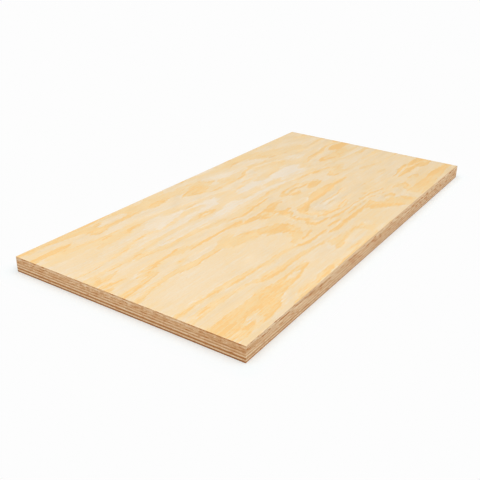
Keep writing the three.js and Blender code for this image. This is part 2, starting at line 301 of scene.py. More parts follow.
NEAR_LEFT = (
    (0.74, (-309, -4, 3.6), (-295, -2.8, 3.4), (-280, -1.4, 3.4), (-265, 0, 3.4), (-252, 1, 3)),
    (0.94, (-309, -6.6, 1.8), (-290, -5, 1.8), (-275, -3.6, 1.6), (-262, -2.4, 1.4), (-250, -1, 1.2),
     (-242, 0, 1)),
    (0.31, (-309, -11.4, 2.6), (-290, -9, 2.6), (-275, -7.4, 2.6), (-260, -6, 2.8), (-245, -5.5, 3.6),
     (-230, -5, 4.4), (-215, -5.5, 4)),
    (0.72, (-309, -19.5, 5.5), (-290, -16.5, 5), (-275, -15, 4.5), (-260, -14, 3.8), (-245, -13.6, 3.4),
     (-232, -14, 4), (-220, -16.4, 5.5), (-205, -17.4, 5.5), (-190, -17, 5.5), (-175, -17.6, 5),
     (-160, -18.5, 5), (-152, -19, 5)),
    (0.62, (-162, -19, 5), (-150, -19, 9), (-140, -18.5, 12.5), (-129, -18.5, 14), (-118, -21, 12),
     (-107, -26, 8), (-96, -30, 6)),
    (0.84, (-116, -17.6, 1.4), (-107, -20, 3.6), (-98, -24, 3.6), (-88, -28, 3.4), (-78, -31, 3.4),
     (-68, -34, 3)),
    (0.28, (-214, -7.5, 2), (-200, -8, 4.5), (-185, -9, 4.5), (-170, -9.5, 4), (-157, -8.5, 3),
     (-149, -7.5, 1)),
    (0.48, (-230, -9, 0.8), (-212, -7.5, 1), (-198, -7, 0.8)),
    (0.88, (-230, -19, 1.4), (-220, -21, 1.5), (-205, -22, 1.5), (-190, -21.5, 1.5), (-175, -21, 1),
     (-160, -21, 1)),
    (0.355, (-309, -46.5, 21), (-290, -46.5, 21.5), (-270, -45.5, 24), (-253, -44.5, 25.5),
     (-240, -44, 26), (-228, -45, 25), (-215, -47, 24), (-203, -49, 25), (-190, -49, 27),
     (-175, -50.5, 28), (-163, -51, 28), (-152, -54.5, 25), (-138, -56, 23.5), (-122, -57, 22),
     (-108, -59, 21), (-98, -60, 20), (-91, -59, 16), (-85, -59.5, 11), (-78, -58.5, 6), (-75, -58, 3)),
    (0.42, (-193, -62, 1), (-180, -60, 1.6), (-170, -58, 1.6), (-161, -58, 1)),
    (0.66, (-58, -57, 9), (-63, -64, 9.5), (-70, -71, 8), (-80, -76, 5), (-93, -79, 3)),
    (0.84, (-93, -34, 4), (-83, -38, 6.4), (-72, -43, 10), (-62, -46.5, 11.5), (-57, -52, 8.5)),
    (0.99, (-96, -43.5, 1.5), (-87, -44.5, 4), (-77, -46.5, 6), (-67, -48, 6.5), (-57, -46.5, 5.5),
     (-49, -46.5, 2.6)),
    (0.90, (-74, -56, 3), (-69, -58, 4), (-66, -64, 2)),
    (0.85, (-98, 1, 1), (-88, -1, 2), (-80, -3, 2), (-72, -5, 2), (-62, -8, 2.5), (-57, -12, 4),
     (-50, -14, 5), (-40, -12, 6), (-30, -11, 6), (-20, -11, 4.5)),
    (0.80, (-55, -4, 4), (-40, -4, 5), (-25, -3, 5), (-12, -2, 3), (0, -2, 2)),
    (0.96, (-58, -6, 3), (-55, -12, 4), (-50, -16, 2.6)),
    (0.95, (-78, -1.6, 2.4), (-68, -3, 3), (-60, -4, 3)),
    (0.46, (-45, -6, 3), (-38, -7, 3.4), (-35, -11, 2)),
    (0.95, (-29, 0, 3), (-27, -6, 3.6), (-26, -12, 3), (-22, -17, 3)),
    (0.36, (-119, -13.5, 1), (-108, -12.5, 4), (-98, -12.5, 7), (-88, -13.5, 8), (-78, -15, 9),
     (-70, -17, 9), (-64, -16, 7), (-60, -13, 3)),
    (0.46, (-78, -25, 2), (-67, -27, 4), (-57, -29, 6.4), (-48, -31, 8), (-40, -31, 8.4), (-33, -29, 5)),
    (0.32, (-20, -13, 4), (-10, -13, 6), (2, -12, 8), (14, -14, 9), (26, -16, 9), (38, -15, 7)),
    (0.60, (-34, -22, 3), (-28, -28, 6), (-24, -35, 6), (-27, -42, 5)),
    (0.90, (-6, -23, 2.5), (-16, -24, 4), (-27, -24, 4), (-20, -30, 4.4), (-18, -34, 4), (-23, -39, 3.8),
     (-30, -43.5, 2.4), (-28.5, -50, 3.6), (-26, -56, 4.2), (-28, -63, 4.6), (-33, -70, 4.4),
     (-27, -76, 3.5), (-14, -78.5, 2.5), (-2, -79, 2)),
    (0.30, (-52, -42, 2), (-44, -48, 4), (-40, -56, 5.5), (-42, -64, 5.5), (-50, -72, 6), (-42, -80, 3),
     (-30, -82, 2)),
    (0.30, (-6, -31, 2), (-12, -36, 4), (-20, -45, 5), (-15, -52, 4), (-12, -60, 4), (-15, -68, 4),
     (-20, -73, 2.5), (-8, -75, 2)),
    (0.78, (0, -37, 2.6), (-6, -42, 3), (-9, -48, 2.6), (-5, -54, 2.6)),
    (0.62, (-8, -56, 2.4), (-4, -60, 4), (4, -63, 4), (10, -66, 3)),
    (0.74, (-2, -64, 2.4), (-5, -68, 2.5), (6, -71.5, 2.5), (18, -75, 2)),
    (0.76, (-309, -71, 3.4), (-290, -70.6, 3), (-275, -71, 2.8), (-262, -71.8, 2.6), (-250, -72, 3),
     (-240, -72.6, 3.4), (-228, -73.6, 4), (-218, -75, 4.6), (-205, -76.6, 4.6), (-195, -77.4, 4.2),
     (-180, -78.6, 3.6), (-168, -80, 3.2), (-158, -82, 3)),
    (0.64, (-166, -81, 3), (-152, -83, 3), (-140, -83, 3), (-126, -83, 3), (-114, -84.6, 3),
     (-104, -87, 2.6), (-95, -89.6, 2.2)),
    (0.92, (-232, -76.6, 0.8), (-222, -78, 1.4), (-210, -79.4, 1.6), (-195, -80.2, 1.3), (-180, -81, 1),
     (-168, -82, 1)),
    (0.31, (-309, -77.4, 2), (-285, -77, 2.2), (-265, -77.6, 2.2), (-250, -79, 2.8), (-235, -82, 3.4),
     (-220, -84, 3), (-205, -85.5, 3.5), (-190, -87, 4), (-175, -88, 4.5), (-160, -91, 4), (-145, -93, 5),
     (-130, -93.5, 5.5), (-115, -93.5, 6), (-100, -96, 6), (-88, -99.5, 5), (-75, -102, 4),
     (-62, -104, 2)),
    (0.68, (-309, -84.6, 3), (-292, -84, 3.2), (-277, -84, 3), (-264, -85, 2.6)),
    (0.56, (-268, -85, 2.6), (-256, -85.6, 2.2), (-246, -86.6, 1.4)),
    (0.88, (-290, -85.6, 0.8), (-279, -85.6, 1.5), (-268, -86, 0.8)),
    (0.62, (-309, -91.4, 1.8), (-285, -90, 2), (-270, -89.5, 1.6), (-255, -90, 1.5), (-240, -90.4, 1.2),
     (-225, -90, 1.4), (-210, -91, 1.6), (-200, -93.4, 2.4)),
    (0.74, (-204, -93, 1.6), (-197, -95.4, 2.8), (-190, -97.8, 3.8), (-178, -100.4, 4.4),
     (-165, -101.4, 4.6), (-150, -102, 4), (-135, -102, 3.5), (-120, -103, 3.5), (-105, -104.5, 3),
     (-90, -107, 2.5), (-75, -108.5, 2), (-60, -109, 1.5)),
    (0.92, (-192, -100.4, 1.2), (-182, -103, 2), (-168, -104.5, 2), (-155, -105, 1.8), (-141, -104.5, 1)),
    (0.33, (-309, -98.5, 6), (-285, -99, 7), (-265, -100, 7.5), (-245, -101, 8), (-230, -101, 8),
     (-215, -101.5, 7.5), (-206, -103.5, 6), (-195, -108, 4.5), (-185, -110.5, 3)),
    (0.29, (-200, -109, 3), (-185, -110.5, 3), (-170, -110.5, 3), (-155, -110, 3.5), (-140, -110.5, 4),
     (-125, -112, 5.5), (-115, -117, 9), (-105, -120, 11), (-95, -124, 15), (-85, -124, 14),
     (-78, -122, 10), (-73, -118, 5), (-70, -118, 2)),
    (0.76, (-309, -113, 5), (-285, -113, 5), (-265, -113.5, 5), (-245, -114, 5), (-225, -114, 5),
     (-208, -116, 6), (-200, -120, 9), (-188, -122, 9), (-172, -119, 5), (-158, -118, 5), (-145, -119, 5),
     (-135, -119, 3.4), (-129, -119, 1.4)),
    (0.80, (-309, -122, 8), (-290, -123, 8), (-275, -124, 8), (-260, -125, 9), (-245, -125, 12),
     (-230, -128, 13), (-218, -128, 9), (-205, -126, 6), (-193, -128, 4)),
    (0.98, (-309, -123, 2.2), (-292, -123, 2.4), (-280, -123, 1.4)),
    (0.96, (-252, -124, 2), (-242, -125, 5), (-230, -124, 7), (-218, -123, 7), (-208, -122, 4)),
    (0.88, (-206, -122, 6), (-198, -121, 4.4), (-190, -119, 2)),
    (0.84, (-206, -129.5, 2.4), (-192, -129, 2.8), (-178, -127.4, 2.6), (-164, -126, 2)),
    (0.62, (-309, -134, 5), (-294, -135, 5), (-282, -139, 4), (-270, -142, 4)),
    (0.86, (-254, -134, 4), (-244, -136, 6), (-234, -136.5, 6.5), (-225, -135, 5), (-219, -132, 3)),
    (0.36, (-270, -128, 1), (-260, -128.6, 3), (-250, -129, 2.6), (-246, -128.6, 1)),
    (0.50, (-267, -134, 1.5), (-258, -135.6, 2.8), (-262, -139.5, 2.4)),
    (0.97, (-309, -130, 1.4), (-290, -132, 1.6), (-281, -134.6, 2.8), (-273, -136.4, 2.4),
     (-265, -137.4, 1)),
    (0.80, (-304, -142.5, 1.4), (-293, -143.5, 2), (-283, -143, 1.4)),
    (0.92, (-264, -142.4, 2), (-252, -142.6, 3), (-240, -141.4, 3.4), (-229, -139.6, 2.4)),
    (0.56, (-309, -149, 4.5), (-290, -149.5, 3.6), (-272, -149, 3.4), (-254, -149, 3)),
    (0.36, (-252, -150, 2.4), (-240, -148, 3.4), (-226, -146, 4.6), (-213, -143, 4.6), (-204, -140, 3)),
    (0.32, (-212, -137, 2.4), (-200, -136, 4.6), (-185, -135, 5), (-170, -134.5, 5.5), (-155, -134, 6.5),
     (-140, -132, 9), (-125, -131.5, 10.5), (-110, -132, 12), (-95, -133, 12), (-86, -136, 9),
     (-77, -140, 4)),
    (0.34, (-178, -120, 1), (-168, -120, 2.4), (-158, -120, 2.4), (-149, -120.5, 1)),
    (0.98, (-147, -120, 1.4), (-140, -120.5, 2.4), (-133, -121, 1.4)),
    (0.86, (-178, -126, 1), (-170, -126, 2), (-158, -125, 1.5), (-148, -124, 1)),
    (0.70, (-194, -143, 1), (-184, -144, 2), (-174, -146, 3), (-162, -148, 4)),
    (0.84, (-166, -147.6, 3), (-154, -146.6, 4), (-142, -146, 4.6), (-130, -145.4, 4.4),
     (-120, -146, 2.6)),
    (0.70, (-212, -152, 3), (-190, -151.6, 3.4), (-170, -152, 3)),
    (0.34, (-113, -146, 2), (-100, -145, 3.4), (-88, -145.4, 3), (-76, -146, 1.4)),
    (0.66, (-72, -141.6, 1), (-60, -142.4, 2.4), (-48, -143, 3), (-36, -145, 3.4), (-20, -148, 3.4),
     (-5, -150, 3)),
    (0.84, (-116, -151.6, 2), (-98, -151, 2.8), (-78, -151, 3.2), (-58, -151, 3.2), (-38, -151.4, 2.8),
     (-20, -152, 2)),
    (0.68, (-71, -114, 2), (-65, -119, 8), (-56, -119, 8), (-45, -119.5, 7), (-34, -119.5, 6),
     (-20, -120, 5), (-5, -121, 4), (8, -124, 3.4)),
    (0.78, (-77, -129, 1.6), (-71, -128, 3.4), (-62, -126.6, 4), (-52, -125.6, 3), (-42, -124.6, 2)),
    (0.88, (-52, -124.6, 1), (-42, -123.6, 1.4), (-30, -122, 1.8), (-18, -121, 1.5), (-5, -120.6, 1.5)),
    (0.62, (-14, -128, 2), (-5, -132, 4), (4, -136, 5)),
    (0.32, (-54, -132, 1), (-44, -134.5, 5.5), (-30, -134, 7.5), (-18, -134, 8), (-10, -136, 6),
     (-6, -138, 3)),
    (0.30, (-68, -108, 2.4), (-55, -110, 3.5), (-45, -111.5, 4.5), (-30, -112, 5), (-15, -112, 5),
     (0, -111.5, 4.5)),
    (0.80, (-78, -85.6, 1), (-68, -84.4, 1.6), (-57, -81.8, 2), (-48, -80, 1)),
    (0.22, (-60, -86.5, 2), (-42, -86.5, 2.4), (-28, -86.5, 2)),
    (0.28, (-40, -82.5, 1.6), (-25, -83.5, 2.6), (-12, -86, 3.4), (-2, -88.5, 2.4)),
    (0.92, (-99, -90.6, 1.2), (-90, -92.4, 2.4), (-80, -93.6, 2.8), (-70, -94.2, 2.4), (-56, -94, 1.8),
     (-48, -94, 1.5), (-40, -95, 1.5)),
    (0.95, (-26, -92, 1), (-18, -93, 2), (-8, -94, 2.5), (1, -94, 1.6)),
    (0.32, (-95, -98, 1.4), (-80, -98, 1.4), (-65, -97.8, 1), (-50, -98, 1.5), (-30, -97.8, 1.5),
     (-10, -98.3, 2), (0, -97.5, 1.5)),
    (0.88, (-41, -101, 1), (-33, -103, 3), (-22, -104, 3), (-10, -103, 3), (0, -103, 3)),
)
NEAR_RIGHT = (
    (0.90, (2, -2, 1), (5, -2.5, 2), (8, -3, 1)),
    (0.93, (34, -1, 1.4), (43, -4, 4.5), (51, -5, 4), (58, -3, 2)),
    (0.90, (76, -9, 3), (86, -7, 6), (96, -5, 6.5), (106, -4, 7), (112, -2, 4)),
    (1.00, (84, -5, 3), (94, -4, 4), (104, -4, 3)),
    (0.66, (144, -9, 3), (152, -8, 7), (164, -8, 8), (176, -8, 7), (186, -5, 6), (196, -3, 3)),
    (0.90, (141, -10, 1.4), (145, -7, 4.6), (152, -4, 4), (158, -2, 2)),
    (0.84, (146, -13, 1.4), (155, -15.5, 2), (166, -16.5, 1.4)),
    (0.48, (28, -12, 5), (40, -13.5, 7), (54, -14, 6), (68, -14, 4)),
    (0.50, (124, -24, 3), (138, -25, 4), (156, -26, 4)),
    (0.84, (-4, -36.4, 4), (8, -34.8, 4.4), (20, -34, 4.4), (33, -34, 4.4), (43, -32.4, 6), (52, -30.4, 8),
     (66, -29.6, 8.4), (80, -29.4, 8.4), (92, -28.8, 7.2), (104, -28.4, 5.6), (118, -29.4, 4),
     (132, -31.2, 3), (148, -32.4, 1.4)),
    (0.96, (-4, -38.4, 2.2), (12, -36.6, 2.6), (30, -36, 2.6), (50, -35.6, 2.6), (70, -35.4, 2.6),
     (84, -34.4, 2.4), (98, -31.6, 1.6), (112, -29.6, 2), (126, -30.6, 1.6)),
    (0.86, (-4, -45.4, 3), (4, -43.6, 2.8), (12, -41.4, 2), (20, -40, 1.4)),
    (0.60, (-2, -58, 2.4), (6, -60, 3.4), (10, -64, 3.6), (14, -68, 2)),
    (0.29, (14, -52, 5), (23, -54, 12), (36, -54, 13.5), (55, -54, 14), (75, -54, 14), (95, -51, 13),
     (112, -47, 10), (130, -44, 8)),
    (0.20, (15, -47, 2), (21, -54, 6), (30, -57, 7), (38, -62, 4)),
    (0.78, (34, -49, 0.8), (50, -49.6, 1), (65, -50, 1), (80, -50, 1.3), (90, -48, 1.5),
     (103, -46.5, 1.2)),
    (0.08, (38, -53, 0.9), (55, -53.4, 1), (70, -53.4, 1), (86, -53, 0.9)),
    (0.62, (32, -58.7, 0.8), (45, -58, 1.1), (57, -56.8, 1)),
    (0.60, (64, -66, 0.8), (74, -65, 1.1), (83, -65.5, 0.8)),
    (0.55, (70, -67.3, 0.8), (82, -68, 1), (94, -69.3, 0.8)),
    (0.60, (8, -66, 1), (16, -69.5, 1.2), (26, -71.5, 1)),
    (0.85, (-2, -71, 2), (10, -73.5, 2), (20, -75.5, 2.4), (28, -77, 2), (37, -79.2, 1.2)),
    (0.80, (38, -74, 0.8), (48, -71.6, 1.1), (60, -70.6, 1.1), (69, -70.4, 0.8)),
    (0.75, (40, -78.6, 0.8), (54, -77.2, 1.1), (68, -75, 0.8)),
    (0.93, (-2, -83, 1.6), (9, -84.4, 2.4), (20, -85.6, 2.4), (32, -86.6, 1.6), (45, -86, 1), (60, -86, 1),
     (75, -87, 1), (85, -87, 1.6), (95, -87, 1.6), (108, -88, 1.6), (118, -91, 1.6), (130, -94, 1.6),
     (139, -96, 1)),
    (0.70, (84, -84, 0.8), (96, -82.8, 1), (110, -82.5, 1.2), (124, -83.3, 1.3), (133, -83.8, 0.8)),
    (0.55, (118, -76, 0.8), (134, -77.2, 1.1), (150, -78.8, 1.1), (166, -82, 1.1), (182, -84, 0.8)),
    (0.85, (-2, -93.8, 1.3), (11, -92.4, 0.8)),
    (0.78, (26, -95, 0.8), (38, -94.2, 1.3), (52, -93.4, 1.3), (66, -94, 1), (82, -93.4, 1),
     (96, -93.8, 1), (108, -97.5, 1.2), (120, -101, 1.3), (132, -104.5, 1.1)),
    (0.95, (-2, -102, 3), (12, -102.4, 3), (24, -102, 3), (36, -102.4, 2.6), (48, -102.6, 2.4),
     (58, -101.5, 2), (68, -101, 1.5), (80, -99.6, 1)),
    (0.22, (-2, -107.4, 0.8), (15, -108, 0.9), (30, -107.8, 0.9), (47, -107, 0.6)),
    (0.60, (134, -65, 0.8), (150, -66, 1), (164, -67.6, 1.1), (176, -68, 1)),
    (0.52, (176, -68.8, 0.8), (192, -69.6, 0.8), (210, -68.4, 0.8)),
    (0.40, (8, -122, 9), (22, -124, 13), (38, -124, 14), (52, -127, 16), (64, -134, 14), (74, -141, 11),
     (86, -147, 7)),
    (0.60, (-2, -122, 2), (5, -124, 2.6), (10, -122, 1)),
    (0.55, (-2, -136, 4), (6, -137, 4), (14, -138, 1.5)),
    (0.62, (90, -119, 9), (100, -121, 9), (108, -123, 6)),
    (0.90, (60, -107, 3), (66, -111, 6), (71, -115, 6.5), (77, -119, 6.5), (83, -124, 6), (90, -130, 5.5),
     (96, -136, 6), (100, -142, 5), (108, -147, 5), (117, -151, 4)),
    (0.76, (68, -103.5, 3), (78, -104, 6), (84, -108, 5)),
    (1.00, (76, -124, 1.6), (83, -128, 2), (90, -133, 2.4), (96, -138, 2)),
    (0.28, (88, -108, 2), (95, -108, 6.5), (104, -108, 7.5), (112, -112, 5), (118, -114.5, 2)),
    (0.74, (100, -123, 5), (107, -129, 8), (113, -136, 9.5), (117, -143, 8)),
    (0.31, (120, -122.5, 2), (128, -122, 3.4), (135, -117, 7), (142, -113, 7), (148, -117, 7),
     (146, -127, 10), (143, -138, 9), (146, -147, 9)),
    (0.88, (118, -125, 1.6), (124, -128.5, 3.4), (128, -134, 4), (129, -139, 3.4), (125, -143, 3)),
    (1.00, (124, -139.4, 1.6), (129, -138.8, 2.4), (132, -138.5, 1)),
    (0.84, (111, -109.6, 1.4), (119, -111, 2.6), (126, -114, 4), (122, -118, 2.4)),
    (0.45, (88, -98, 1.4), (105, -101, 1.6), (122, -104.6, 1.8), (140, -107, 2)),
    (0.66, (152, -106, 2), (160, -109, 4), (170, -112, 5.4), (178, -114, 4.4), (172, -119, 5),
     (162, -124, 6), (157, -132, 5), (156, -141, 4)),
    (0.84, (174, -110, 1.4), (181, -113, 2.2), (178, -117, 2), (168, -121, 1.6)),
    (0.34, (184, -118, 1), (190, -117, 5), (200, -116, 8), (210, -116, 7), (220, -118, 4)),
    (0.74, (202, -108, 1), (212, -109, 1.6), (222, -112, 2.4), (228, -115, 2), (221, -117, 1.4)),
    (0.30, (175, -101, 3), (190, -103, 3.6), (210, -103.5, 3.6), (225, -104, 4), (242, -104.5, 4),
     (256, -104, 4), (266, -107, 4)),
    (0.37, (222, -121.5, 1), (232, -118.5, 5), (245, -116, 8), (260, -116.5, 9), (275, -119, 8),
     (290, -120.5, 7), (309, -121, 7)),
    (0.52, (160, -146, 5), (180, -146, 5), (200, -147, 4)),
    (0.72, (158, -136, 7), (172, -135, 7.4), (185, -134.4, 7.4), (200, -135.4, 8), (215, -136, 8.4),
     (230, -136.6, 9.4), (245, -136.6, 9.4), (260, -136.6, 9), (275, -137.4, 8), (290, -138, 8),
     (309, -138, 8)),
    (0.95, (228, -130, 1.5), (242, -131.4, 3.4), (252, -132.4, 4.4), (262, -132.6, 3.6),
     (276, -133.4, 2.6), (292, -134, 2), (309, -135, 4)),
    (0.34, (206, -151, 2), (218, -148.5, 3), (232, -147.5, 3), (250, -149.5, 3), (268, -147.5, 4),
     (288, -147, 4), (309, -148, 4)),
    (0.60, (165, -149, 3), (180, -148, 4), (196, -148, 3)),
    (0.52, (206, -89, 2), (222, -90, 3), (240, -89.5, 3.4), (258, -89, 3)),
    (0.96, (195, -87.6, 1), (206, -87.6, 1.4), (216, -86.4, 2), (226, -84.8, 3), (238, -83.4, 3.2),
     (250, -82.6, 3), (259, -82, 2)),
    (0.92, (261, -87.6, 2.4), (272, -88.4, 4.4), (285, -89.6, 5.6), (298, -90.4, 6.4), (309, -91, 8)),
    (0.97, (202, -95.4, 1), (212, -95, 2.8), (225, -95, 4), (238, -95.6, 4.8), (248, -96.6, 4.4),
     (258, -97.4, 4.2), (266, -99.4, 4.2), (276, -101, 4.8), (290, -101.6, 5.4), (309, -101, 7)),
    (0.90, (265, -103, 3.4), (275, -106, 4.8), (286, -107, 4.4), (298, -106, 4), (309, -105, 5)),
    (0.36, (150, -58, 10), (175, -58, 12), (200, -56, 12), (225, -56, 12), (250, -62, 14), (275, -64, 14),
     (309, -62, 12)),
    (0.50, (150, -42, 1), (170, -41, 1), (190, -42, 1), (206, -40, 2), (225, -40, 2.4), (240, -43, 2),
     (260, -45, 2), (280, -47, 2), (296, -48, 2)),
    (0.34, (150, -25, 3), (165, -25, 4), (181, -26, 3.6), (192, -26, 3.6), (206, -26, 2.4)),
    (0.66, (195, -32, 1), (203, -33, 3), (212, -35.6, 3.6), (222, -38.4, 2.4), (233, -41, 1.4)),
    (0.30, (150, -53, 5), (170, -53, 7), (190, -53, 5), (205, -51.6, 3)),
    (0.56, (196, -62, 1.5), (207, -63, 2.8), (218, -64, 2)),
    (0.58, (163, -15.4, 1.4), (176, -16.6, 2), (188, -18, 1.4)),
    (0.56, (212, -14, 1.4), (224, -12.6, 2.4), (238, -12, 1.4)),
    (0.28, (182, -12, 3), (196, -9, 4), (212, -6, 5), (235, -6, 5), (260, -4, 5), (290, -3, 4)),
    (0.58, (240, -16, 1), (248, -15, 2.4), (262, -15.5, 3), (276, -17, 2.6), (290, -17, 3.6),
     (309, -18, 6)),
    (0.50, (196, -19.5, 1), (212, -21, 1.6), (224, -23, 1)),
    (0.85, (298, -48.5, 1), (309, -48.5, 3)),
    (0.75, (298, -67, 1), (309, -67, 2)),
)
STREAKS = FAR_LEFT + FAR_RIGHT + NEAR_LEFT + NEAR_RIGHT
